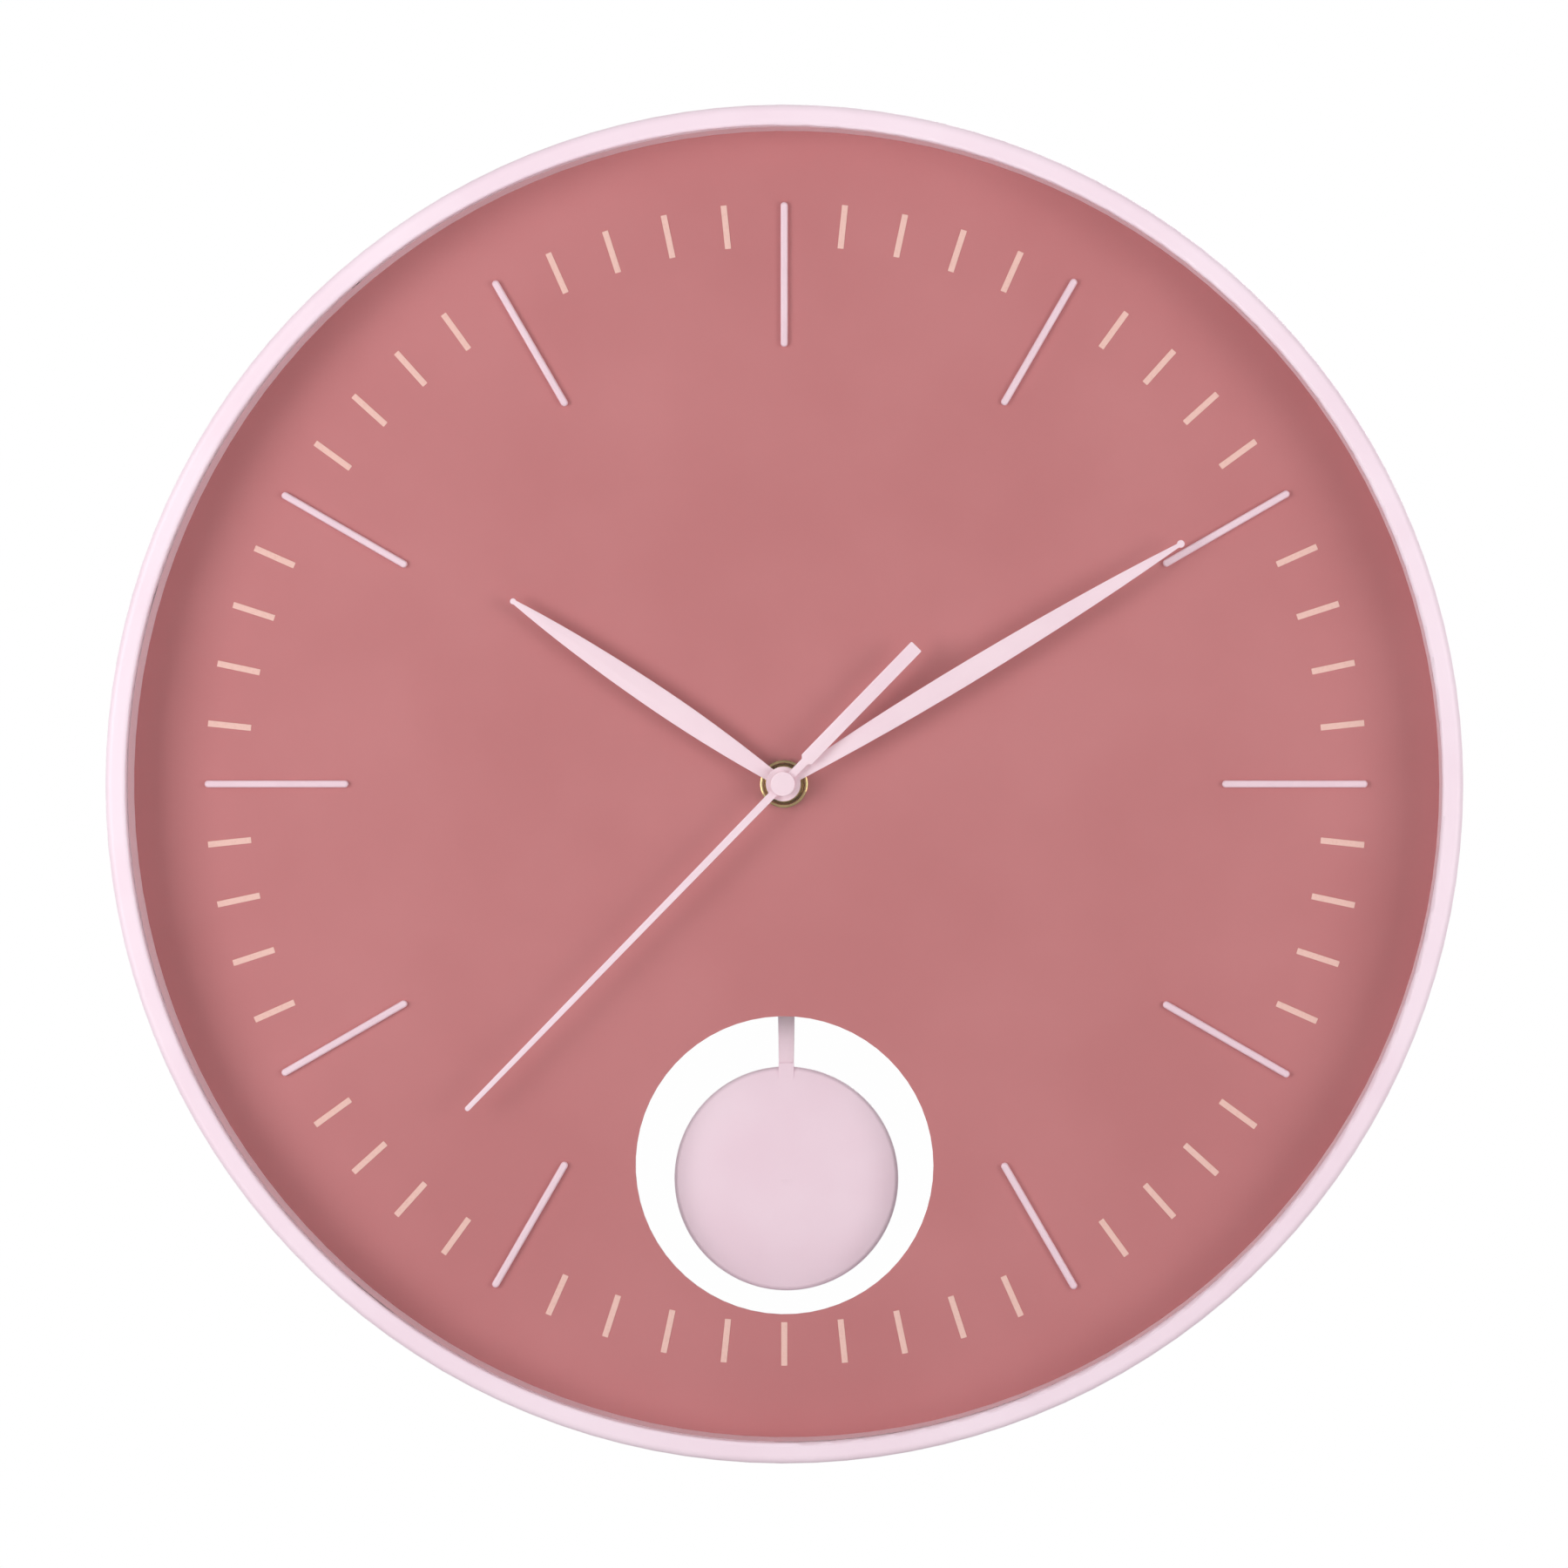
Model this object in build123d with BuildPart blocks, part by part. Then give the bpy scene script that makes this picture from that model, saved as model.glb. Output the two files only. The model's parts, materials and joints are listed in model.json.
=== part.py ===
from build123d import *

import os
from math import acos, atan2, cos, pi, radians, sin, sqrt, tan

# Pendulum wall clock: painted round case, glass, dial with a pendulum window, quartz
# movement with its wheel train, three hands and a swinging pendulum.
# Millimetres, +Z up, the dial faces -Y. The origin lies on the hand axis in the plane of
# the wall, so a "height" is a distance off the wall, towards the viewer.

os.makedirs("parts", exist_ok=True)

# Case, glass and spacer
case_diameter = 300.0
case_depth = 45.0
case_wall = 1.5
lip_width = 4.6
lip_thickness = 2.0
lip_outer_round = 1.6
lip_inner_round = 0.8
glass_thickness = 2.0
seat_clearance = 0.2
snap_wire = 2.5
snap_seat_depth = 0.6
snap_clearance = 0.1
snap_gap_angle = 8.0

# Dial with its window, printed marks and applied batons
dial_depth = 15.0
dial_thickness = 1.2
window_top_gap = 5.7
window_mark_gap = 1.7
dial_track_gap = 15.9
mark_length = 9.7
mark_width = 1.35
mark_thickness = 0.12
baton_length = 32.2
baton_width = 1.6
baton_height = 1.2
baton_round = 0.5
baton_peg = 1.0
baton_peg_spacing = 20.0
baton_peg_tail = 0.5

# Fits: what turns, what is pushed together and what only passes through
running_clearance = 0.05
fixed_clearance = 0.02
passing_clearance = 0.4

# Hands, with their angles clockwise from twelve as photographed
hour_angle = 304.0
minute_angle = 58.9
second_angle = 224.2
hour_length = 73.3
hour_width = 5.3
minute_length = 103.7
minute_width = 4.8
second_length = 101.0
second_root_width = 1.75
second_tip_width = 1.1
second_tail_start = 7.0
second_shoulder = 0.6
second_tail_end = 42.5
second_tail_width = 3.1
second_tail_round = 0.3
second_tip_round = 0.5
hand_thickness = 0.5
hub_height = 1.5
hub_wall = 1.2
hand_gap = 0.5
minute_boss = 7.7
cap_diameter = 5.5
cap_height = 0.9
cap_round = 0.2

# Lancet outline: share of the hand's length, and share of its greatest width there
lancet_stations = [
    (0.03, 0.48),
    (0.12, 0.68),
    (0.27, 0.91),
    (0.45, 1.0),
    (0.64, 0.89),
    (0.82, 0.62),
    (0.985, 0.19),
]

# Clamping stack through the dial
bush_diameter = 8.0
bush_flange = 12.0
bush_flange_thickness = 1.0
bush_proud = 0.2
nut_diameter = 10.6
nut_height = 2.0
nut_chamfer = 0.5
washer_diameter = 18.0
washer_thickness = 1.0
hanger_thickness = 1.0
hanger_width = 30.0
hanger_tail = 10.0
hanger_rise = 2.0
hanger_back = 8.0
hanger_reach = 34.0
hanger_bend = 0.6
hanger_corner = 6.0
keyhole_diameter = 9.0
keyhole_slot = 4.5
keyhole_above_bend = 15.0
keyhole_lift = 8.0

# Movement box
movement_width = 56.0
movement_top = 29.5
movement_bottom = 46.0
movement_depth = 16.3
movement_wall = 1.5
movement_corner = 4.0
cover_thickness = 1.5
boss_diameter = 5.0
boss_inset = 3.5
boss_edge = 4.0
screw_diameter = 2.0
screw_head = 3.6
screw_head_height = 1.2
screw_length = 8.0
pilot_play = 0.1
pivot_depth = 0.8

# Wheel train: tooth counts, centre distances and wheels
seconds_teeth = 48
seconds_pinion_teeth = 8
intermediate_teeth = 40
intermediate_pinion_teeth = 8
rotor_pinion_teeth = 8
third_teeth = 60
third_pinion_teeth = 8
centre_teeth = 64
cannon_teeth = 12
minute_teeth = 36
minute_pinion_teeth = 10
hour_teeth = 40
train_distance = 10.0
rotor_distance = 8.0
wheel_thickness = 1.0
train_end_gap = 0.6
pinion_overlap = 0.2
tooth_addendum = 0.7
tooth_dedendum = 1.15
tooth_backlash = 0.25
pressure_angle = 20.0
arbor_diameter = 1.0
seconds_arbor = 1.2
minute_tube = 3.4
hour_tube = 5.0
knob_arbor = 2.0
knob_diameter = 11.0
knob_height = 3.5
knob_gap = 0.3
knob_flutes = 14
knob_flute_depth = 0.5
plate_margin = 3.0
pillar_diameter = 3.6
pillar_spread = 15.5
pillar_drop = 9.0
plate_screw = 1.2
plate_screw_head = 2.6
plate_screw_head_height = 0.7
plate_screw_length = 4.0

# Stepping motor and electronics
magnet_diameter = 6.0
rotor_air_gap = 0.5
stator_ring = 2.0
stator_thickness = 1.0
stator_leg_span = 9.0
stator_leg_width = 2.0
coil_drop = 14.0
coil_core_height = 2.0
coil_core_thickness = 1.0
bobbin_diameter = 5.2
bobbin_tube = 3.0
bobbin_flange = 0.6
winding_diameter = 4.8
board_width = 14.0
board_height = 17.0
board_thickness = 1.0
board_standoff = 1.5
board_side_gap = 1.0
board_drop = 11.0
support_post = 1.6
stator_post_rise = 4.0
chip_diameter = 6.0
chip_height = 1.0
chip_round = 0.6
chip_rise = 3.4
crystal_diameter = 2.0
crystal_length = 6.0
crystal_sink = 4.2

# Battery
cell_diameter = 14.5
cell_nub_diameter = 5.5
cell_nub_length = 1.5
cell_play = 0.1
contact_reach = 1.5
bay_clearance = 0.4
bay_rib = 1.2
contact_thickness = 0.4
contact_width = 9.0
contact_fold = 2.2

# Pendulum
swing_angle = 10.0
pivot_drop = 24.0
pivot_pin = 1.5
pivot_boss = 4.4
lever_setback = 7.2
lever_thickness = 2.0
lever_width = 5.0
lever_length = 26.8
drive_magnet_diameter = 8.0
drive_magnet_thickness = 2.0
drive_magnet_reach = 13.0
drive_coil_diameter = 13.0
drive_coil_bore = 4.0
drive_coil_gap = 1.0
slot_play = 1.0
hook_width = 1.6
hook_height = 1.6
hook_lip = 1.0
hook_lip_rise = 0.8
rod_eye = 4.8
rod_eye_drop = 24.4
rod_top_width = 3.75
rod_width = 3.35
rod_thickness = 1.6
rod_play = 0.1
tongue_width = 2.0
tongue_length = 3.0
bob_window_gap = 8.1
bob_sag = 3.5
bob_thickness = 6.4
bob_edge = 2.4
neck_height = 0.8
neck_thickness = 3.0
neck_root = 4.5

# Heights off the wall that follow from the sizes above
glass_front = case_depth - lip_thickness
glass_back = glass_front - glass_thickness
dial_front = case_depth - dial_depth
dial_back = dial_front - dial_thickness
shell_front = dial_back - washer_thickness - hanger_thickness
shell_inside = shell_front - movement_wall
cover_back = shell_front - movement_depth
cover_inside = cover_back + cover_thickness
bush_front = dial_front + nut_height + bush_proud
hour_hub_back = bush_front + hand_gap
hour_hub_front = hour_hub_back + hub_height
minute_hub_back = hour_hub_front + hand_gap
minute_hub_front = minute_hub_back + hub_height
second_hub_back = minute_hub_front + hand_gap
second_hub_front = second_hub_back + hub_height
lever_front = dial_back - lever_setback
lever_back = lever_front - lever_thickness
rod_front = lever_back - rod_play
rod_back = rod_front - rod_thickness
rod_middle = (rod_front + rod_back) / 2

# Radii and places that follow from the sizes above
case_radius = case_diameter / 2
bore_radius = case_radius - case_wall
lip_radius = case_radius - lip_width
seat_radius = bore_radius - seat_clearance
wire_radius = snap_wire / 2
wire_ring_radius = bore_radius + snap_seat_depth - wire_radius
wire_height = dial_back - wire_radius
track_radius = lip_radius - dial_track_gap
mark_radius = track_radius - mark_length / 2
baton_radius = track_radius - baton_length / 2
window_top = movement_bottom + window_top_gap
window_bottom = track_radius - mark_length - window_mark_gap
window_diameter = window_bottom - window_top
window_drop = (window_top + window_bottom) / 2
bob_diameter = window_diameter - 2 * bob_window_gap
bob_drop = window_drop + bob_sag
bush_radius = bush_diameter / 2
arbor_radius = arbor_diameter / 2
seconds_radius = seconds_arbor / 2
minute_tube_radius = minute_tube / 2
hour_tube_radius = hour_tube / 2
centre_axis = (0.0, 0.0)
intermediate_axis = (train_distance, 0.0)
third_axis = (0.0, -train_distance)
minute_axis = (-train_distance, 0.0)
rotor_axis = (train_distance + rotor_distance, 0.0)
pivot_axis = (0.0, -pivot_drop)
window_axis = (0.0, -window_drop)
movement_height = movement_top + movement_bottom
movement_middle = (0.0, (movement_top - movement_bottom) / 2)
cavity_half_width = movement_width / 2 - movement_wall
cell_length = movement_width - 2 * (movement_wall + contact_reach)
cell_height = shell_inside - cell_play - cell_diameter / 2
cell_level = movement_top - movement_wall - bay_clearance - cell_diameter / 2
rib_top = cell_level - cell_diameter / 2 - bay_clearance
rib_bottom = rib_top - bay_rib
boss_column = movement_width / 2 - boss_inset
boss_top = rib_bottom - boss_edge
boss_bottom = boss_edge - movement_bottom
boss_places = [(x, z) for x in (-boss_column, boss_column) for z in (boss_bottom, boss_top)]
pillar_places = [(x, z) for x in (-pillar_spread, pillar_spread) for z in (-pillar_drop, pillar_drop)]

# A baton stands at every hour but six, where the window is
baton_hours = [hour for hour in range(1, 13) if hour != 6]

# The train stands on seven even levels between the cover and the front of the shell
level_step = (shell_inside - cover_inside - 2 * train_end_gap - wheel_thickness) / 6
train_level = [cover_inside + train_end_gap + level_step * step for step in range(7)]
plate_back = train_level[3]
plate_front = plate_back + wheel_thickness


def wall_plane(height, place=(0.0, 0.0)):
    """Plane parallel to the wall: x to the right, y up, facing the viewer."""
    return Plane(origin=(place[0], -height, place[1]), x_dir=(1, 0, 0), z_dir=(0, -1, 0))


def hand_plane(height, clock_angle):
    """The same plane turned so that its y axis points at a place on the dial."""
    turn = radians(clock_angle)
    return Plane(origin=(0, -height, 0), x_dir=(cos(turn), 0, -sin(turn)), z_dir=(0, -1, 0))


def save(piece, name):
    """Label a finished piece and write it under its own name."""
    piece.part.label = name
    export_step(piece.part, f"parts/{name}.step")


def add_post(back, front, radius, place=(0.0, 0.0), mode=Mode.ADD):
    """Round post, or hole, between two heights off the wall."""
    with BuildSketch(wall_plane(back, place)) as post:
        Circle(radius)
    extrude(post.sketch, amount=front - back, mode=mode)


def gear_module(wheel_teeth, pinion_teeth, distance):
    """Module that makes a wheel and a pinion mesh at a centre distance."""
    return 2 * distance / (wheel_teeth + pinion_teeth)


def tooth_points(teeth, module, phase):
    """Outline of a gear whose flanks run through the involute at root, pitch and tip."""
    pitch_radius = teeth * module / 2
    base_radius = pitch_radius * cos(radians(pressure_angle))
    radii = [
        pitch_radius - tooth_dedendum * module,
        pitch_radius,
        pitch_radius + tooth_addendum * module,
    ]

    def involute(angle):
        return tan(angle) - angle

    def half_tooth(radius):
        flank = acos(min(1.0, base_radius / radius))
        pitch_half = (pi / 2 - tooth_backlash) * module / (2 * pitch_radius)
        return pitch_half + involute(radians(pressure_angle)) - involute(flank)

    points = []
    for tooth in range(teeth):
        middle = phase + 2 * pi * tooth / teeth
        for radius in radii:
            turn = middle - half_tooth(radius)
            points.append((radius * cos(turn), radius * sin(turn)))
        for radius in reversed(radii):
            turn = middle + half_tooth(radius)
            points.append((radius * cos(turn), radius * sin(turn)))
    return points


def mesh_phase(phase, teeth, place, mate_teeth, mate_place):
    """Phase that lets a mate's tooth space meet a tooth on the line of centres."""
    bearing = atan2(mate_place[1] - place[1], mate_place[0] - place[0])
    share = (bearing - phase) * teeth / (2 * pi)
    return bearing + pi - (0.5 - share) * 2 * pi / mate_teeth


def add_gear(teeth, module, phase, back, front, place):
    """Toothed wheel or pinion between two heights off the wall."""
    with BuildSketch(wall_plane(back, place)) as gear:
        Polygon(*tooth_points(teeth, module, phase), align=None)
    extrude(gear.sketch, amount=front - back)


def add_lancet(back, clock_angle, length, width):
    """Leaf-shaped hand blade with a small rounded point."""
    right_side = [(width / 2 * share, length * reach) for reach, share in lancet_stations]
    left_side = [(-x, y) for x, y in reversed(right_side)]
    with BuildSketch(hand_plane(back, clock_angle)) as blade:
        with BuildLine():
            Spline(*right_side)
            ThreePointArc(right_side[-1], (0, length), left_side[0])
            Spline(*left_side)
            Line(left_side[-1], right_side[0])
        make_face()
    extrude(blade.sketch, amount=hand_thickness)


# Case ring: rolled metal tube with a narrow rounded lip in front
with BuildPart() as case_ring:
    with BuildSketch(Plane.XY) as case_section:
        with BuildLine():
            Polyline(
                (case_radius, 0),
                (case_radius, -case_depth),
                (lip_radius, -case_depth),
                (lip_radius, -glass_front),
                (bore_radius, -glass_front),
                (bore_radius, 0),
                close=True,
            )
        make_face()
        fillet(case_section.vertices().group_by(Axis.Y)[0].sort_by(Axis.X)[0], lip_inner_round)
        fillet(case_section.vertices().group_by(Axis.Y)[0].sort_by(Axis.X)[-1], lip_outer_round)
    revolve(axis=Axis.Y)
    with BuildSketch(Plane.XY) as groove_section:
        with Locations((wire_ring_radius, -wire_height)):
            Circle(wire_radius + snap_clearance)
    revolve(axis=Axis.Y, mode=Mode.SUBTRACT)
save(case_ring, "case_ring")

# Flat glass behind the lip
with BuildPart() as lens_glass:
    add_post(glass_back, glass_front, seat_radius)
save(lens_glass, "lens_glass")

# Spacer ring: the inner wall that shows between the glass and the dial
with BuildPart() as spacer_ring:
    add_post(dial_front, glass_back, seat_radius)
    add_post(dial_front, glass_back, lip_radius, mode=Mode.SUBTRACT)
save(spacer_ring, "spacer_ring")

# Dial plate with its pendulum window, centre hole and peg holes
with BuildPart() as dial_plate:
    add_post(dial_back, dial_front, seat_radius)
    add_post(dial_back, dial_front, window_diameter / 2, window_axis, mode=Mode.SUBTRACT)
    add_post(dial_back, dial_front, bush_radius + running_clearance, mode=Mode.SUBTRACT)
    with BuildSketch(wall_plane(dial_back)) as peg_holes:
        for hour in baton_hours:
            for shift in (-baton_peg_spacing / 2, baton_peg_spacing / 2):
                with PolarLocations(baton_radius + shift, 1, start_angle=90 - 30 * hour):
                    Circle(baton_peg / 2 + fixed_clearance)
    extrude(amount=dial_thickness, mode=Mode.SUBTRACT)
save(dial_plate, "dial_plate")

# Printed minute marks: none where a baton stands
with BuildPart() as minute_marks:
    with BuildSketch(wall_plane(dial_front)) as mark_pads:
        for minute in range(60):
            if minute % 5 or (minute // 5 or 12) not in baton_hours:
                with PolarLocations(mark_radius, 1, start_angle=90 - 6 * minute):
                    Rectangle(mark_length, mark_width)
    extrude(amount=mark_thickness)
save(minute_marks, "minute_marks")

# Applied hour batons, each with two pegs through the dial
for hour in baton_hours:
    with BuildPart() as hour_baton:
        with BuildSketch(wall_plane(dial_front)) as baton_bar:
            with PolarLocations(baton_radius, 1, start_angle=90 - 30 * hour):
                SlotOverall(baton_length, baton_width)
        extrude(amount=baton_height)
        fillet(hour_baton.faces().sort_by(Axis.Y)[0].edges(), baton_round)
        with BuildSketch(wall_plane(dial_front)) as baton_pegs:
            for shift in (-baton_peg_spacing / 2, baton_peg_spacing / 2):
                with PolarLocations(baton_radius + shift, 1, start_angle=90 - 30 * hour):
                    Circle(baton_peg / 2)
        extrude(amount=-dial_thickness - baton_peg_tail)
    save(hour_baton, f"hour_baton_{hour}")

# Sprung wire ring that holds glass, spacer and dial in the case
with BuildPart() as snap_ring:
    with BuildSketch(Plane.XY) as wire_section:
        with Locations((wire_ring_radius, -wire_height)):
            Circle(wire_radius)
    revolve(axis=Axis.Y, revolution_arc=360 - snap_gap_angle)
save(snap_ring, "snap_ring")

# Threaded bush of the movement, its nut on the dial and the washer behind it
with BuildPart() as threaded_bush:
    add_post(shell_inside, bush_front, bush_radius)
    add_post(shell_inside, shell_inside + bush_flange_thickness, bush_flange / 2)
    add_post(shell_inside, bush_front, hour_tube_radius + running_clearance, mode=Mode.SUBTRACT)
save(threaded_bush, "threaded_bush")

with BuildPart() as fixing_nut:
    add_post(dial_front, dial_front + nut_height, nut_diameter / 2)
    chamfer(fixing_nut.faces().sort_by(Axis.Y)[0].edges(), nut_chamfer)
    add_post(dial_front, dial_front + nut_height, bush_radius + fixed_clearance, mode=Mode.SUBTRACT)
save(fixing_nut, "fixing_nut")

with BuildPart() as cushion_washer:
    add_post(dial_back - washer_thickness, dial_back, washer_diameter / 2)
    add_post(dial_back - washer_thickness, dial_back, bush_radius + fixed_clearance, mode=Mode.SUBTRACT)
save(cushion_washer, "cushion_washer")

# Hanger plate: clamped behind the dial, bent back over the movement, with a keyhole
hanger_bend_level = movement_top + hanger_rise
hanger_top = hanger_bend_level + hanger_reach
keyhole_level = hanger_bend_level + keyhole_above_bend
with BuildPart() as hanger_plate:
    with BuildSketch(Plane.YZ) as hanger_section:
        with BuildLine():
            Polyline(
                (-shell_front - hanger_thickness, -hanger_tail),
                (-shell_front - hanger_thickness, hanger_bend_level + hanger_thickness),
                (-hanger_back - hanger_thickness, hanger_bend_level + hanger_thickness),
                (-hanger_back - hanger_thickness, hanger_top),
                (-hanger_back, hanger_top),
                (-hanger_back, hanger_bend_level),
                (-shell_front, hanger_bend_level),
                (-shell_front, -hanger_tail),
                close=True,
            )
        make_face()
        bends = hanger_section.vertices().filter_by_position(
            Axis.Y, hanger_bend_level, hanger_bend_level + hanger_thickness
        )
        fillet(bends, hanger_bend)
    extrude(amount=hanger_width / 2, both=True)
    fillet(hanger_plate.edges().filter_by(Axis.Y).group_by(Axis.Z)[-1], hanger_corner)
    fillet(hanger_plate.edges().filter_by(Axis.Y).group_by(Axis.Z)[0], hanger_corner)
    add_post(shell_front, shell_front + hanger_thickness, bush_radius + fixed_clearance, mode=Mode.SUBTRACT)
    with BuildSketch(wall_plane(hanger_back, (0, keyhole_level))) as keyhole:
        Circle(keyhole_diameter / 2)
        with Locations((0, keyhole_lift / 2)):
            SlotCenterToCenter(keyhole_lift, keyhole_slot, rotation=90)
    extrude(amount=hanger_thickness, mode=Mode.SUBTRACT)
save(hanger_plate, "hanger_plate")

# Movement shell: box open at the back, with a battery bay, bosses and pivot seats
slot_half_width = (movement_bottom - pivot_drop) * tan(radians(swing_angle))
slot_half_width += lever_width / 2 / cos(radians(swing_angle)) + slot_play
with BuildPart() as movement_shell:
    with BuildSketch(wall_plane(cover_back, movement_middle)) as box_outline:
        RectangleRounded(movement_width, movement_height, movement_corner)
    extrude(amount=movement_depth)
    with BuildSketch(wall_plane(cover_back)) as cover_seat:
        with Locations((0, rib_top)):
            Rectangle(movement_width, movement_height, align=(Align.CENTER, Align.MAX))
    extrude(amount=cover_thickness, mode=Mode.SUBTRACT)
    with BuildSketch(wall_plane(cover_inside)) as train_cavity:
        with Locations((0, rib_bottom)):
            Rectangle(
                2 * cavity_half_width,
                rib_bottom + movement_bottom - movement_wall,
                align=(Align.CENTER, Align.MAX),
            )
        fillet(train_cavity.vertices().group_by(Axis.Y)[0], movement_corner - movement_wall)
    extrude(amount=shell_inside - cover_inside, mode=Mode.SUBTRACT)
    with BuildSketch(wall_plane(cover_back)) as battery_bay:
        with Locations((0, rib_top)):
            Rectangle(
                2 * cavity_half_width,
                movement_top - movement_wall - rib_top,
                align=(Align.CENTER, Align.MIN),
            )
    extrude(amount=shell_inside - cover_back, mode=Mode.SUBTRACT)
    for place in boss_places:
        add_post(cover_inside, shell_inside, boss_diameter / 2, place)
        add_post(
            cover_inside,
            cover_inside + screw_length,
            screw_diameter / 2 + pilot_play,
            place,
            mode=Mode.SUBTRACT,
        )
    for place in pillar_places:
        add_post(plate_front, shell_inside, pillar_diameter / 2, place)
        add_post(
            plate_front,
            plate_front + plate_screw_length,
            plate_screw / 2 + pilot_play,
            place,
            mode=Mode.SUBTRACT,
        )
    add_post(lever_front + passing_clearance, shell_inside, pivot_boss / 2, pivot_axis)
    add_post(
        lever_front + passing_clearance,
        shell_inside + pivot_depth,
        pivot_pin / 2 + fixed_clearance,
        pivot_axis,
        mode=Mode.SUBTRACT,
    )
    for place in (third_axis, minute_axis):
        add_post(
            shell_inside,
            shell_inside + pivot_depth + passing_clearance,
            arbor_radius + running_clearance,
            place,
            mode=Mode.SUBTRACT,
        )
    add_post(shell_inside, shell_front, bush_radius + fixed_clearance, mode=Mode.SUBTRACT)
    add_post(
        shell_inside,
        shell_inside + bush_flange_thickness,
        bush_flange / 2 + fixed_clearance,
        mode=Mode.SUBTRACT,
    )
    with BuildSketch(wall_plane(rod_back - slot_play)) as lever_slot:
        with Locations((0, -movement_bottom)):
            Rectangle(2 * slot_half_width, 2 * movement_wall)
    extrude(amount=lever_front - rod_back + 2 * slot_play, mode=Mode.SUBTRACT)
save(movement_shell, "movement_shell")

# Movement cover: back plate with pivot seats, posts and the setting arbor's hole
stator_back = (train_level[1] + train_level[2] + wheel_thickness - stator_thickness) / 2
stator_front = stator_back + stator_thickness
leg_columns = [rotor_axis[0] - stator_leg_span / 2, rotor_axis[0] + stator_leg_span / 2]
board_back = cover_inside + board_standoff
board_front = board_back + board_thickness
board_left = board_side_gap - cavity_half_width
board_middle = (board_left + board_width / 2, -board_drop - board_height / 2)
with BuildPart() as movement_cover:
    with BuildSketch(wall_plane(cover_back, movement_middle)) as cover_outline:
        RectangleRounded(movement_width, movement_height, movement_corner)
    extrude(amount=cover_thickness)
    with BuildSketch(wall_plane(cover_back)) as bay_opening:
        with Locations((0, rib_top)):
            Rectangle(movement_width, movement_height, align=(Align.CENTER, Align.MIN))
    extrude(amount=cover_thickness, mode=Mode.SUBTRACT)
    for place in boss_places:
        add_post(cover_back, cover_inside, screw_diameter / 2 + pilot_play, place, mode=Mode.SUBTRACT)
    for column in leg_columns:
        add_post(cover_inside, stator_back, support_post / 2, (column, stator_post_rise - coil_drop))
    for side in (-1, 1):
        post_place = (
            board_middle[0] + side * (board_width / 2 - support_post),
            board_middle[1] + side * (board_height / 2 - support_post),
        )
        add_post(cover_inside, board_back, support_post / 2, post_place)
    add_post(cover_inside, lever_back - passing_clearance, pivot_boss / 2, pivot_axis)
    add_post(
        cover_inside,
        lever_back - passing_clearance,
        pivot_pin / 2 + fixed_clearance,
        pivot_axis,
        mode=Mode.SUBTRACT,
    )
    for place in (intermediate_axis, third_axis, rotor_axis):
        add_post(
            cover_inside - pivot_depth - passing_clearance,
            cover_inside,
            arbor_radius + running_clearance,
            place,
            mode=Mode.SUBTRACT,
        )
    add_post(
        cover_inside - pivot_depth - passing_clearance,
        cover_inside,
        seconds_radius + running_clearance,
        mode=Mode.SUBTRACT,
    )
    add_post(cover_back, cover_inside, knob_arbor / 2 + running_clearance, minute_axis, mode=Mode.SUBTRACT)
save(movement_cover, "movement_cover")

# Four equal screws close the cover
with BuildPart() as cover_screws:
    for place in boss_places:
        add_post(cover_back - screw_head_height, cover_back, screw_head / 2, place)
        add_post(cover_back, cover_inside + screw_length - passing_clearance, screw_diameter / 2, place)
save(cover_screws, "cover_screws")

# Train plate: inner plate on four pillars of the shell, with its screws
plate_right = boss_column - boss_diameter / 2 - passing_clearance
with BuildPart() as train_plate:
    with BuildSketch(wall_plane(plate_back)) as plate_outline:
        with BuildLine():
            Polyline(
                (-pillar_spread - plate_margin, -pillar_drop - plate_margin),
                (-pillar_spread - plate_margin, rib_bottom - passing_clearance),
                (plate_right, rib_bottom - passing_clearance),
                (plate_right, -pillar_drop - plate_margin),
                close=True,
            )
        make_face()
    extrude(amount=wheel_thickness)
    for place in pillar_places:
        add_post(plate_back, plate_front, plate_screw / 2 + pilot_play, place, mode=Mode.SUBTRACT)
    for place in (intermediate_axis, rotor_axis):
        add_post(plate_back, plate_front, arbor_radius + running_clearance, place, mode=Mode.SUBTRACT)
    add_post(plate_back, plate_front, minute_tube_radius + running_clearance, mode=Mode.SUBTRACT)
    add_post(plate_back, plate_front, knob_arbor / 2 + passing_clearance, minute_axis, mode=Mode.SUBTRACT)
    third_pinion_module = gear_module(centre_teeth, third_pinion_teeth, train_distance)
    third_pinion_tip = (third_pinion_teeth / 2 + tooth_addendum) * third_pinion_module
    add_post(plate_back, plate_front, third_pinion_tip + passing_clearance, third_axis, mode=Mode.SUBTRACT)
save(train_plate, "train_plate")

with BuildPart() as plate_screws:
    for place in pillar_places:
        add_post(plate_back - plate_screw_head_height, plate_back, plate_screw_head / 2, place)
        add_post(plate_back, plate_front + plate_screw_length - passing_clearance, plate_screw / 2, place)
save(plate_screws, "plate_screws")

# Seconds wheel: plastic wheel and pinion on a steel arbor that carries the second hand
seconds_module = gear_module(seconds_teeth, intermediate_pinion_teeth, train_distance)
seconds_pinion_module = gear_module(third_teeth, seconds_pinion_teeth, train_distance)
seconds_phase = 0.0
with BuildPart() as seconds_wheel:
    wheel_front = train_level[1] + wheel_thickness
    pinion_front = train_level[2] + wheel_thickness + pinion_overlap
    add_gear(seconds_teeth, seconds_module, seconds_phase, train_level[1], wheel_front, centre_axis)
    add_gear(
        seconds_pinion_teeth, seconds_pinion_module, seconds_phase, wheel_front, pinion_front, centre_axis
    )
    add_post(train_level[1], pinion_front, seconds_radius + fixed_clearance, mode=Mode.SUBTRACT)
save(seconds_wheel, "seconds_wheel")

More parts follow.
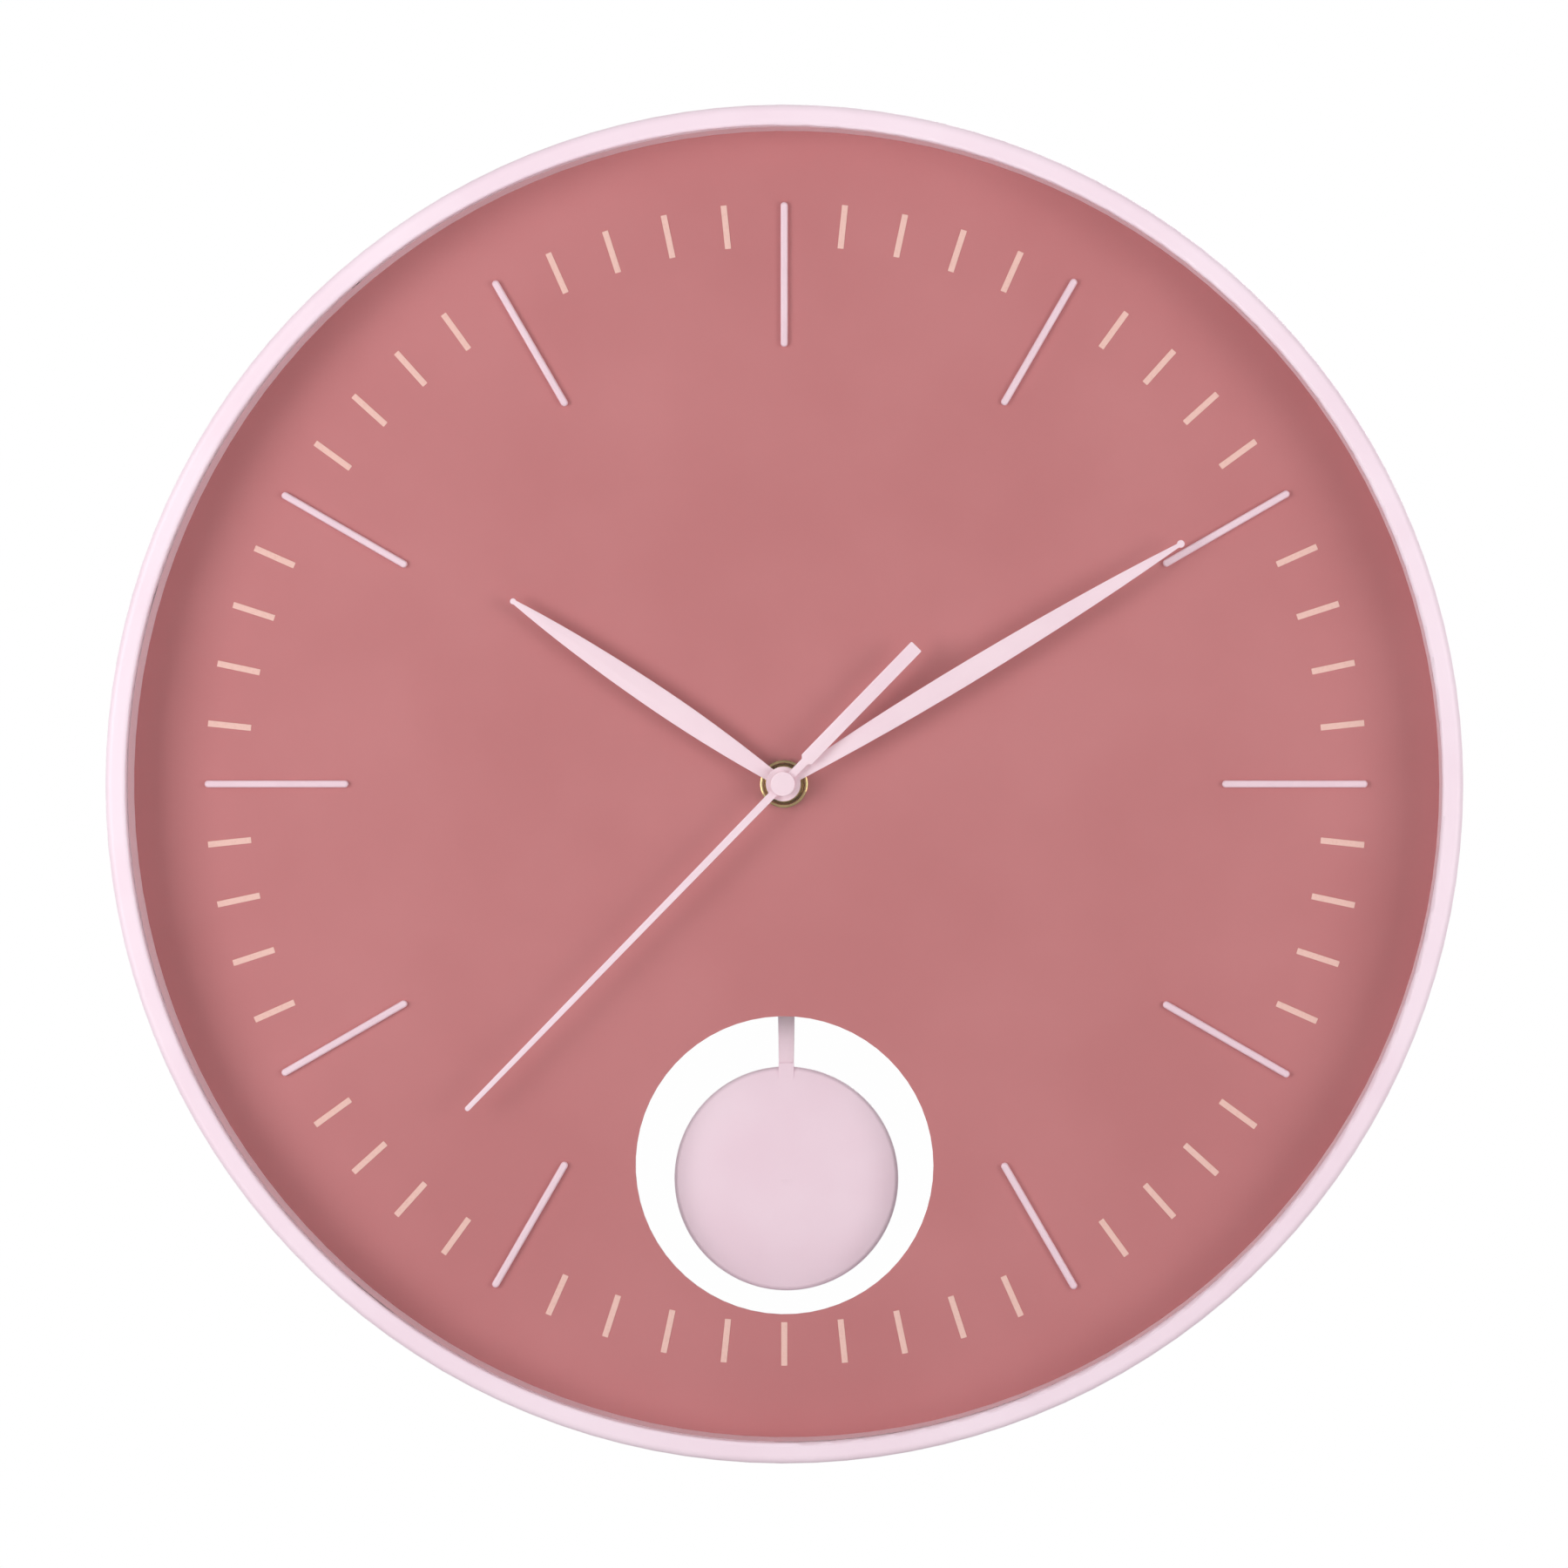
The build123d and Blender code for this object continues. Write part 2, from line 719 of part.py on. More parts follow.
with BuildPart() as seconds_arbor_pin:
    add_post(cover_inside - pivot_depth, second_hub_front, seconds_radius)
save(seconds_arbor_pin, "seconds_arbor")

# Intermediate wheel between the rotor and the seconds wheel
intermediate_phase = mesh_phase(
    seconds_phase, seconds_teeth, centre_axis, intermediate_pinion_teeth, intermediate_axis
)
rotor_module = gear_module(intermediate_teeth, rotor_pinion_teeth, rotor_distance)
with BuildPart() as intermediate_wheel:
    wheel_front = train_level[0] + wheel_thickness
    pinion_front = train_level[1] + wheel_thickness + pinion_overlap
    add_gear(
        intermediate_teeth, rotor_module, intermediate_phase, train_level[0], wheel_front, intermediate_axis
    )
    add_gear(
        intermediate_pinion_teeth,
        seconds_module,
        intermediate_phase,
        wheel_front,
        pinion_front,
        intermediate_axis,
    )
    add_post(cover_inside - pivot_depth, plate_back + pivot_depth, arbor_radius, intermediate_axis)
save(intermediate_wheel, "intermediate_wheel")

# Rotor of the stepping motor: pinion with its arbor, and a ring magnet on it
rotor_phase = mesh_phase(
    intermediate_phase, intermediate_teeth, intermediate_axis, rotor_pinion_teeth, rotor_axis
)
magnet_back = train_level[1]
magnet_front = train_level[2] + wheel_thickness
with BuildPart() as rotor_pinion:
    pinion_back = train_level[0] - pinion_overlap
    pinion_front = train_level[0] + wheel_thickness + pinion_overlap
    add_gear(rotor_pinion_teeth, rotor_module, rotor_phase, pinion_back, pinion_front, rotor_axis)
    add_post(cover_inside - pivot_depth, plate_back + pivot_depth, arbor_radius, rotor_axis)
save(rotor_pinion, "rotor_pinion")

with BuildPart() as rotor_magnet:
    add_post(magnet_back, magnet_front, magnet_diameter / 2, rotor_axis)
    add_post(magnet_back, magnet_front, arbor_radius + fixed_clearance, rotor_axis, mode=Mode.SUBTRACT)
save(rotor_magnet, "rotor_magnet")

# Third wheel between the seconds pinion and the centre wheel
third_phase = mesh_phase(seconds_phase, seconds_pinion_teeth, centre_axis, third_teeth, third_axis)
with BuildPart() as third_wheel:
    wheel_front = train_level[2] + wheel_thickness
    pinion_front = train_level[4] + wheel_thickness + pinion_overlap
    add_gear(third_teeth, seconds_pinion_module, third_phase, train_level[2], wheel_front, third_axis)
    add_gear(third_pinion_teeth, third_pinion_module, third_phase, wheel_front, pinion_front, third_axis)
    add_post(cover_inside - pivot_depth, shell_inside + pivot_depth, arbor_radius, third_axis)
save(third_wheel, "third_wheel")

# Centre wheel with the cannon pinion and the tube that carries the minute hand
centre_phase = mesh_phase(third_phase, third_pinion_teeth, third_axis, centre_teeth, centre_axis)
cannon_module = gear_module(minute_teeth, cannon_teeth, train_distance)
with BuildPart() as centre_wheel:
    wheel_front = train_level[4] + wheel_thickness
    pinion_front = train_level[5] + wheel_thickness + pinion_overlap
    add_gear(centre_teeth, third_pinion_module, centre_phase, train_level[4], wheel_front, centre_axis)
    add_gear(cannon_teeth, cannon_module, centre_phase, wheel_front, pinion_front, centre_axis)
    add_post(plate_back, minute_hub_front, minute_tube_radius)
    add_post(plate_back, minute_hub_front, seconds_radius + running_clearance, mode=Mode.SUBTRACT)
save(centre_wheel, "centre_wheel")

# Minute wheel of the motion work, with the setting knob on its arbor behind the cover
minute_phase = mesh_phase(centre_phase, cannon_teeth, centre_axis, minute_teeth, minute_axis)
hour_module = gear_module(hour_teeth, minute_pinion_teeth, train_distance)
knob_front = cover_back - knob_gap
knob_back = knob_front - knob_height
with BuildPart() as minute_wheel:
    wheel_front = train_level[5] + wheel_thickness
    pinion_front = train_level[6] + wheel_thickness + pinion_overlap
    add_gear(minute_teeth, cannon_module, minute_phase, train_level[5], wheel_front, minute_axis)
    add_gear(minute_pinion_teeth, hour_module, minute_phase, wheel_front, pinion_front, minute_axis)
    add_post(pinion_front, shell_inside + pivot_depth, arbor_radius, minute_axis)
    add_post(plate_front + passing_clearance, train_level[5], arbor_radius, minute_axis)
    add_post(knob_back, plate_front + passing_clearance, knob_arbor / 2, minute_axis)
save(minute_wheel, "minute_wheel")

with BuildPart() as setting_knob:
    add_post(knob_back, knob_front, knob_diameter / 2, minute_axis)
    with BuildSketch(wall_plane(knob_back, minute_axis)) as knob_grip:
        with PolarLocations(knob_diameter / 2, knob_flutes):
            Circle(knob_flute_depth)
    extrude(amount=knob_height, mode=Mode.SUBTRACT)
    add_post(knob_back, knob_front, knob_arbor / 2 + fixed_clearance, minute_axis, mode=Mode.SUBTRACT)
save(setting_knob, "setting_knob")

# Hour wheel with the outer tube that carries the hour hand
hour_phase = mesh_phase(minute_phase, minute_pinion_teeth, minute_axis, hour_teeth, centre_axis)
with BuildPart() as hour_wheel:
    wheel_front = train_level[6] + wheel_thickness
    add_gear(hour_teeth, hour_module, hour_phase, train_level[6], wheel_front, centre_axis)
    add_post(wheel_front, hour_hub_front, hour_tube_radius)
    add_post(
        train_level[6], hour_hub_front, minute_tube_radius + running_clearance, mode=Mode.SUBTRACT
    )
save(hour_wheel, "hour_wheel")

# Hands: lancet hour and minute hands on sleeves, and a second hand with a counterweight
with BuildPart() as hour_hand:
    add_lancet(hour_hub_front - hand_thickness, hour_angle, hour_length, hour_width)
    add_post(hour_hub_back, hour_hub_front, hour_tube_radius + hub_wall)
    add_post(
        hour_hub_back, hour_hub_front, hour_tube_radius + fixed_clearance, mode=Mode.SUBTRACT
    )
save(hour_hand, "hour_hand")

with BuildPart() as minute_hand:
    add_lancet(minute_hub_front - hand_thickness, minute_angle, minute_length, minute_width)
    add_post(minute_hub_front - hand_thickness, minute_hub_front, minute_boss / 2)
    add_post(minute_hub_back, minute_hub_front, minute_tube_radius + hub_wall)
    add_post(
        minute_hub_back, minute_hub_front, minute_tube_radius + fixed_clearance, mode=Mode.SUBTRACT
    )
save(minute_hand, "minute_hand")

with BuildPart() as second_hand:
    with BuildSketch(hand_plane(second_hub_front - hand_thickness, second_angle)) as second_blade:
        with BuildLine():
            Polyline(
                (second_tail_width / 2, -second_tail_end),
                (second_tail_width / 2, -second_tail_start - second_shoulder),
                (second_root_width / 2, -second_tail_start),
                (second_root_width / 2, 0),
                (second_tip_width / 2, second_length),
                (-second_tip_width / 2, second_length),
                (-second_root_width / 2, 0),
                (-second_root_width / 2, -second_tail_start),
                (-second_tail_width / 2, -second_tail_start - second_shoulder),
                (-second_tail_width / 2, -second_tail_end),
                close=True,
            )
        make_face()
        fillet(second_blade.vertices().group_by(Axis.Y)[0], second_tail_round)
        fillet(second_blade.vertices().group_by(Axis.Y)[-1], second_tip_round)
    extrude(amount=hand_thickness)
    add_post(second_hub_back, second_hub_front, seconds_radius + hub_wall)
    add_post(
        second_hub_back, second_hub_front, seconds_radius + fixed_clearance, mode=Mode.SUBTRACT
    )
save(second_hand, "second_hand")

with BuildPart() as second_hand_cap:
    add_post(second_hub_front, second_hub_front + cap_height, cap_diameter / 2)
    fillet(second_hand_cap.faces().sort_by(Axis.Y)[0].edges(), cap_round)
save(second_hand_cap, "second_hand_cap")

# Stator, coil core, bobbin and winding of the stepping motor
core_front = stator_back
core_back = core_front - coil_core_thickness
core_middle = (core_front + core_back) / 2
coil_level = rotor_axis[1] - coil_drop
bobbin_half = (stator_leg_span - stator_leg_width) / 2 - running_clearance
with BuildPart() as motor_stator:
    with BuildSketch(wall_plane(stator_back, rotor_axis)) as stator_outline:
        Circle(magnet_diameter / 2 + rotor_air_gap + stator_ring)
        for side in (-1, 1):
            with Locations((side * stator_leg_span / 2, 0)):
                Rectangle(
                    stator_leg_width,
                    coil_drop + coil_core_height / 2,
                    align=(Align.CENTER, Align.MAX),
                )
        Circle(magnet_diameter / 2 + rotor_air_gap, mode=Mode.SUBTRACT)
    extrude(amount=stator_thickness)
save(motor_stator, "motor_stator")

with BuildPart() as coil_core:
    with BuildSketch(wall_plane(core_back, (rotor_axis[0], coil_level))) as core_outline:
        Rectangle(stator_leg_span + stator_leg_width, coil_core_height)
    extrude(amount=coil_core_thickness)
save(coil_core, "coil_core")

coil_plane = Plane(origin=(rotor_axis[0], -core_middle, coil_level), x_dir=(0, -1, 0), z_dir=(1, 0, 0))
with BuildPart() as coil_bobbin:
    with BuildSketch(coil_plane.offset(-bobbin_half)) as spool:
        Circle(bobbin_tube / 2)
    extrude(amount=2 * bobbin_half)
    flange_planes = [coil_plane.offset(-bobbin_half), coil_plane.offset(bobbin_half - bobbin_flange)]
    with BuildSketch(*flange_planes) as flanges:
        Circle(bobbin_diameter / 2)
    extrude(amount=bobbin_flange)
    with BuildSketch(coil_plane.offset(-bobbin_half)) as core_passage:
        Rectangle(coil_core_thickness + 2 * fixed_clearance, coil_core_height + 2 * fixed_clearance)
    extrude(amount=2 * bobbin_half, mode=Mode.SUBTRACT)
save(coil_bobbin, "coil_bobbin")

with BuildPart() as coil_winding:
    with BuildSketch(coil_plane.offset(bobbin_flange - bobbin_half)) as turns:
        Circle(winding_diameter / 2)
        Circle(bobbin_tube / 2 + fixed_clearance, mode=Mode.SUBTRACT)
    extrude(amount=2 * (bobbin_half - bobbin_flange))
save(coil_winding, "coil_winding")

# Circuit board with its chip and crystal
with BuildPart() as circuit_board:
    with BuildSketch(wall_plane(board_back, board_middle)) as board_outline:
        Rectangle(board_width, board_height)
    extrude(amount=board_thickness)
save(circuit_board, "circuit_board")

with BuildPart() as timing_chip:
    chip_place = (board_middle[0], board_middle[1] + chip_rise)
    add_post(board_front, board_front + chip_height, chip_diameter / 2, chip_place)
    fillet(timing_chip.faces().sort_by(Axis.Y)[0].edges(), chip_round)
save(timing_chip, "timing_chip")

with BuildPart() as quartz_crystal:
    crystal_plane = Plane(
        origin=(
            board_middle[0] - crystal_length / 2,
            -board_front - crystal_diameter / 2,
            board_middle[1] - crystal_sink,
        ),
        x_dir=(0, -1, 0),
        z_dir=(1, 0, 0),
    )
    with BuildSketch(crystal_plane) as crystal_can:
        Circle(crystal_diameter / 2)
    extrude(amount=crystal_length)
save(quartz_crystal, "quartz_crystal")

# Battery and its two contacts in the bay
cell_left = -cell_length / 2
cell_plane = Plane(origin=(cell_left, -cell_height, cell_level), x_dir=(0, -1, 0), z_dir=(1, 0, 0))
with BuildPart() as battery_cell:
    with BuildSketch(cell_plane) as cell_body:
        Circle(cell_diameter / 2)
    extrude(amount=cell_length - cell_nub_length)
    fillet(battery_cell.edges().filter_by(GeomType.CIRCLE), cell_nub_length / 2)
    with BuildSketch(cell_plane.offset(cell_length - cell_nub_length)) as cell_nub:
        Circle(cell_nub_diameter / 2)
    extrude(amount=cell_nub_length)
save(battery_cell, "battery_cell")

for contact_name, side in (("battery_contact_positive", 1), ("battery_contact_negative", -1)):
    with BuildPart() as battery_contact:
        wall_face = side * (cavity_half_width - cell_play)
        spring_face = side * (cavity_half_width - contact_reach + cell_play)
        blade = side * contact_thickness
        with BuildSketch(wall_plane(cell_height - contact_width / 2, (0, cell_level))) as contact_section:
            with BuildLine():
                Polyline(
                    (wall_face, contact_width / 2),
                    (wall_face, -contact_width / 2),
                    (wall_face - blade, -contact_width / 2),
                    (spring_face, 0),
                    (spring_face + blade, contact_thickness),
                    (wall_face - blade, -contact_fold),
                    (wall_face - blade, contact_width / 2),
                    close=True,
                )
            make_face()
        extrude(amount=contact_width)
    save(battery_contact, contact_name)

# Pendulum drive: fixed coil and pivot pin, swinging lever with a magnet and a hook
magnet_axis = (0.0, -pivot_drop - drive_magnet_reach)
magnet_seat_back = lever_back - drive_magnet_thickness
with BuildPart() as pendulum_coil:
    add_post(cover_inside, magnet_seat_back - drive_coil_gap, drive_coil_diameter / 2, magnet_axis)
    add_post(
        cover_inside,
        magnet_seat_back - drive_coil_gap,
        drive_coil_bore / 2,
        magnet_axis,
        mode=Mode.SUBTRACT,
    )
save(pendulum_coil, "pendulum_coil")

with BuildPart() as pendulum_pivot:
    add_post(cover_inside, shell_inside + pivot_depth - passing_clearance, pivot_pin / 2, pivot_axis)
save(pendulum_pivot, "pendulum_pivot")

hook_level = -pivot_drop - rod_eye_drop
hook_back = rod_back - rod_play - hook_lip
with BuildPart() as pendulum_lever:
    with BuildSketch(wall_plane(lever_back, pivot_axis)) as lever_outline:
        with Locations((0, -lever_length / 2)):
            Rectangle(lever_width, lever_length)
        Circle(pivot_boss / 2 + hub_wall)
        with Locations((0, -drive_magnet_reach)):
            Circle(drive_magnet_diameter / 2)
    extrude(amount=lever_thickness)
    add_post(lever_back, lever_front, pivot_pin / 2 + running_clearance, pivot_axis, mode=Mode.SUBTRACT)
    with BuildSketch(wall_plane(hook_back, (0, hook_level))) as hook_bar:
        Rectangle(hook_width, hook_height)
    extrude(amount=lever_back - hook_back)
    with BuildSketch(wall_plane(hook_back, (0, hook_level))) as hook_tip:
        with Locations((0, -hook_height / 2)):
            Rectangle(hook_width, hook_height + hook_lip_rise, align=(Align.CENTER, Align.MIN))
    extrude(amount=hook_lip)
save(pendulum_lever, "pendulum_lever")

with BuildPart() as pendulum_magnet:
    add_post(magnet_seat_back, lever_back, drive_magnet_diameter / 2, magnet_axis)
save(pendulum_magnet, "pendulum_magnet")

# Pendulum rod: flat bar with an eye on the hook and a tongue in the bob's neck
bob_level = -bob_drop
neck_top = bob_level + bob_diameter / 2 + neck_height
with BuildPart() as pendulum_rod:
    with BuildSketch(wall_plane(rod_back)) as rod_outline:
        with Locations((0, hook_level)):
            Circle(rod_eye / 2)
        with BuildLine():
            Polyline(
                (rod_top_width / 2, hook_level),
                (rod_width / 2, neck_top),
                (-rod_width / 2, neck_top),
                (-rod_top_width / 2, hook_level),
                close=True,
            )
        make_face()
        with Locations((0, neck_top)):
            Rectangle(tongue_width, tongue_length, align=(Align.CENTER, Align.MAX))
        with Locations((0, hook_level)):
            Rectangle(
                hook_width + 2 * rod_play,
                hook_height + 2 * rod_play,
                mode=Mode.SUBTRACT,
            )
    extrude(amount=rod_thickness)
save(pendulum_rod, "pendulum_rod")

# Bob: shallow domed disc with a rounded edge and a short neck
bob_radius = bob_diameter / 2
edge_radius = bob_edge / 2
crown = (bob_thickness - bob_edge) / 2
dome_reach = bob_radius - edge_radius
dome_radius = (dome_reach**2 + crown**2) / (2 * crown)
dome_middle = sqrt(dome_radius**2 - dome_reach**2 / 4) - (dome_radius - crown)
bob_axis = Axis((0, 0, bob_level), (0, 1, 0))
with BuildPart() as pendulum_bob:
    with BuildSketch(Plane.XY.offset(bob_level)) as bob_section:
        with BuildLine():
            Line((0, -rod_middle + edge_radius + crown), (0, -rod_middle - edge_radius - crown))
            ThreePointArc(
                (0, -rod_middle - edge_radius - crown),
                (dome_reach / 2, -rod_middle - edge_radius - dome_middle),
                (dome_reach, -rod_middle - edge_radius),
            )
            ThreePointArc(
                (dome_reach, -rod_middle - edge_radius),
                (bob_radius, -rod_middle),
                (dome_reach, -rod_middle + edge_radius),
            )
            ThreePointArc(
                (dome_reach, -rod_middle + edge_radius),
                (dome_reach / 2, -rod_middle + edge_radius + dome_middle),
                (0, -rod_middle + edge_radius + crown),
            )
        make_face()
    revolve(axis=bob_axis)
    with BuildSketch(wall_plane(rod_middle - neck_thickness / 2)) as neck:
        with Locations((0, neck_top)):
            Rectangle(rod_width, neck_height + neck_root, align=(Align.CENTER, Align.MAX))
    extrude(amount=neck_thickness)
    with BuildSketch(wall_plane(rod_back - fixed_clearance)) as socket:
        with Locations((0, neck_top)):
            Rectangle(
                tongue_width + 2 * fixed_clearance,
                tongue_length + fixed_clearance,
                align=(Align.CENTER, Align.MAX),
            )
    extrude(amount=rod_thickness + 2 * fixed_clearance, mode=Mode.SUBTRACT)
save(pendulum_bob, "pendulum_bob")
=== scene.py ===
# Pendulum wall clock: finishes, small modelled parts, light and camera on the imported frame.
# Metres, +Z up, the dial faces -Y and the wall is the plane y = 0, so a height off the wall is -y.

import json
import math

import bpy
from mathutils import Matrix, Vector

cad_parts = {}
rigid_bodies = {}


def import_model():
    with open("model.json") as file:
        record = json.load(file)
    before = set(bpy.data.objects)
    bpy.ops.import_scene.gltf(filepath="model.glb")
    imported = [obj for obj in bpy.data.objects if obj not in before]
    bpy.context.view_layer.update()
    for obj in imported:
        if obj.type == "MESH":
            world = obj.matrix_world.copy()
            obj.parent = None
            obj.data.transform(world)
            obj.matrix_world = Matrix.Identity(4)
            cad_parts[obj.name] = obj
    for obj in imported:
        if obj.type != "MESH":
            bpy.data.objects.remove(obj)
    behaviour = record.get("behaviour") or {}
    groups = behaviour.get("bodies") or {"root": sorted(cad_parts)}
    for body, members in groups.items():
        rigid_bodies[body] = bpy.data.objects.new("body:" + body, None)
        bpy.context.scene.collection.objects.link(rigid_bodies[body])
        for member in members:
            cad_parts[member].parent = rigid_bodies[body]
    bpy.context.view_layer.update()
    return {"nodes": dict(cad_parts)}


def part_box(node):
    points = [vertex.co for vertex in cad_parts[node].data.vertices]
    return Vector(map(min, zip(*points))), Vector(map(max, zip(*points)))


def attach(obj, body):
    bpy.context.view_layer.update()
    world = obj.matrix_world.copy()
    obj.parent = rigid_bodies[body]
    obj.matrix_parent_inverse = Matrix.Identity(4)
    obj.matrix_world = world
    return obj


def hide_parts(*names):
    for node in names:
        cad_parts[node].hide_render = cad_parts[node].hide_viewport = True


for leftover in list(bpy.data.objects):
    bpy.data.objects.remove(leftover)
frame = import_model()
scene = bpy.context.scene
scene.view_settings.view_transform = "Standard"

# Camera: 1.6 m in front of the rim, a little to the right of the hand axis, long lens
rim_front = (0.0, -0.045, 0.0)
camera_place = (0.066, -1.645, 0.0)
camera_target = (0.00055, -0.045, 0.0)
bpy.ops.object.camera_add(location=camera_place)
camera = bpy.context.object
camera.name = "clock_camera"
camera.rotation_euler = (Vector(camera_target) - camera.location).to_track_quat("-Z", "Y").to_euler()
camera.data.sensor_width = 36.0
camera.data.lens = 166.7
camera.data.dof.use_dof = False
scene.camera = camera


def linear(hex_text):
    """sRGB hex colour as linear RGBA."""
    parts = [int(hex_text[start:start + 2], 16) / 255 for start in (1, 3, 5)]
    return [p / 12.92 if p <= 0.04045 else ((p + 0.055) / 1.055) ** 2.4 for p in parts] + [1.0]


def per_metre(size_mm):
    """Texture scale that draws a pattern of this size in millimetres."""
    return 1000.0 / size_mm


def add_node(tree, kind, settings, links):
    """Add one node with its properties, its socket values and what feeds it."""
    made = tree.nodes.new(kind)
    sockets = {socket.identifier: socket for socket in made.inputs}
    for key, value in settings.items():
        if key in sockets:
            sockets[key].default_value = value
        else:
            setattr(made, key, value)
    for key, source in links.items():
        tree.links.new(source, sockets[key])
    return made


def start_finish(name):
    """New material: its tree, its shader and the place on the piece."""
    finish = bpy.data.materials.new(name)
    finish.use_nodes = True
    tree = finish.node_tree
    place = add_node(tree, "ShaderNodeTexCoord", {}, {}).outputs["Object"]
    return finish, tree, tree.nodes["Principled BSDF"], place


def add_noise(tree, place, size_mm, detail):
    """Noise pattern of this size in millimetres."""
    return add_node(
        tree, "ShaderNodeTexNoise", {"Scale": per_metre(size_mm), "Detail": detail}, {"Vector": place}
    )


def add_sheen(tree, pattern, low, high):
    """Roughness that runs between two limits with the pattern."""
    return add_node(
        tree, "ShaderNodeMapRange", {"To Min": low, "To Max": high}, {"Value": pattern.outputs[0]}
    )


def add_relief(tree, height, strength, depth_mm):
    """Fine relief of this depth in millimetres."""
    return add_node(
        tree, "ShaderNodeBump", {"Strength": strength, "Distance": depth_mm / 1000}, {"Height": height}
    )


def link_skin(tree, shader, sheen, relief):
    """Feed roughness and relief to the shader."""
    tree.links.new(sheen.outputs[0], shader.inputs["Roughness"])
    tree.links.new(relief.outputs[0], shader.inputs["Normal"])


def two_tones(tree, source, deep, pale, low=0.35, high=0.65):
    """Colour that runs from a deep to a pale tone with the pattern."""
    ramp = add_node(tree, "ShaderNodeValToRGB", {}, {"Fac": source})
    ramp.color_ramp.elements[0].position = low
    ramp.color_ramp.elements[0].color = linear(deep)
    ramp.color_ramp.elements[1].position = high
    ramp.color_ramp.elements[1].color = linear(pale)
    return ramp.outputs["Color"]


def paint_finish(name, deep, pale, cloud_mm, peel_mm, peel_depth_mm, gloss):
    """Sprayed and stoved paint: faint clouds of tone, uneven gloss and a fine orange peel."""
    finish, tree, shader, place = start_finish(name)
    cloud = add_noise(tree, place, cloud_mm, 3.0)
    peel = add_noise(tree, place, peel_mm, 2.0)
    sheen = add_sheen(tree, peel, *gloss)
    relief = add_relief(tree, peel.outputs[0], 0.5, peel_depth_mm)
    tree.links.new(two_tones(tree, cloud.outputs[0], deep, pale), shader.inputs["Base Color"])
    link_skin(tree, shader, sheen, relief)
    return finish


def metal_finish(name, deep, pale, grain_mm, stretch, gloss, relief_mm):
    """Plated or drawn metal: rolling grain that shifts tone and gloss along the sheet."""
    finish, tree, shader, place = start_finish(name)
    drawn = add_node(tree, "ShaderNodeMapping", {"Scale": stretch}, {"Vector": place})
    grain = add_noise(tree, drawn.outputs[0], grain_mm, 4.0)
    sheen = add_sheen(tree, grain, *gloss)
    relief = add_relief(tree, grain.outputs[0], 0.4, relief_mm)
    shader.inputs["Metallic"].default_value = 1.0
    tree.links.new(two_tones(tree, grain.outputs[0], deep, pale), shader.inputs["Base Color"])
    link_skin(tree, shader, sheen, relief)
    return finish


def moulded_finish(name, deep, pale, grain_mm, grain_depth_mm, gloss):
    """Moulded plastic or resin: a spark-eroded grain from the tool, slightly uneven gloss."""
    finish, tree, shader, place = start_finish(name)
    grain = add_node(tree, "ShaderNodeTexVoronoi", {"Scale": per_metre(grain_mm)}, {"Vector": place})
    cloud = add_noise(tree, place, 12 * grain_mm, 3.0)
    sheen = add_sheen(tree, cloud, *gloss)
    relief = add_relief(tree, grain.outputs["Distance"], 0.5, grain_depth_mm)
    tree.links.new(two_tones(tree, cloud.outputs[0], deep, pale), shader.inputs["Base Color"])
    link_skin(tree, shader, sheen, relief)
    return finish


# A wave texture repeats once in this share of its scale
wave_share = 0.314


def wound_finish(name, pattern, direction):
    """Enamelled copper wire: glossy ridges, coarser than the wire so that they show, with painted shade
    drawn darker in the grooves between turns.
    """
    ridge_mm = 0.6
    finish, tree, shader, place = start_finish(name)
    turns = add_node(
        tree,
        "ShaderNodeTexWave",
        {"wave_type": pattern, direction[0]: direction[1], "Scale": wave_share * per_metre(ridge_mm)},
        {"Vector": place},
    )
    relief = add_relief(tree, turns.outputs["Fac"], 0.8, 0.2)
    shader.inputs["Metallic"].default_value = 1.0
    shader.inputs["Roughness"].default_value = 0.3
    shader.inputs["Coat Weight"].default_value = 0.6
    # Deep copper in the grooves and pale on the crests, keyed to the relief: painted shade between the
    # turns
    tree.links.new(
        two_tones(tree, turns.outputs["Fac"], "#8A4522", "#C9773F", 0.1, 0.8), shader.inputs["Base Color"]
    )
    tree.links.new(relief.outputs[0], shader.inputs["Normal"])
    return finish


# Powder-coated steel tube: pale pink satin skin, soft highlights on the rounded lip
case_paint = paint_finish(
    "powder_coated_steel_pale_pink", "#F8E0EC", "#FCE7F2", 30.0, 1.4, 0.03, (0.42, 0.5)
)
# Sprayed plastic spacer: the case's pink, flatter, and drawn darker as painted shade of the rim that stands
# over it
spacer_paint_painted_shade = paint_finish("sprayed_plastic_pink_painted_shade", "#ECD4DC", "#F1DAE2", 20.0, 1.2, 0.02, (0.5, 0.6))
# Painted aluminium bars and stamped hands: thin smooth coat, pale pink, a little glossier
baton_paint = paint_finish("painted_aluminium_bar", "#EFD2DD", "#F3D8E2", 9.0, 0.9, 0.008, (0.34, 0.42))
hand_paint = paint_finish("painted_aluminium_sheet", "#F7DDE7", "#FAE2EB", 14.0, 0.9, 0.008, (0.4, 0.48))
# Painted pendulum: satin, slightly greyer pink
rod_paint = paint_finish("painted_steel_strip", "#EFD3DF", "#F3D9E3", 10.0, 0.9, 0.01, (0.42, 0.5))
bob_paint = paint_finish("sprayed_plastic_bob", "#F2D5E2", "#F6DCE8", 22.0, 1.2, 0.012, (0.42, 0.52))

# Zinc-plated steel: bluish grey, satin, with the rolling lines of the sheet
zinc_steel = metal_finish(
    "zinc_plated_steel", "#A9ADB2", "#C6C9CC", 2.5, (1.0, 1.0, 0.25), (0.28, 0.42), 0.01
)
# Bright drawn steel of the cell's can and the crystal's tube
drawn_can = metal_finish(
    "drawn_nickel_steel", "#BDBFC2", "#D6D7D9", 1.5, (0.2, 1.0, 1.0), (0.2, 0.3), 0.004
)
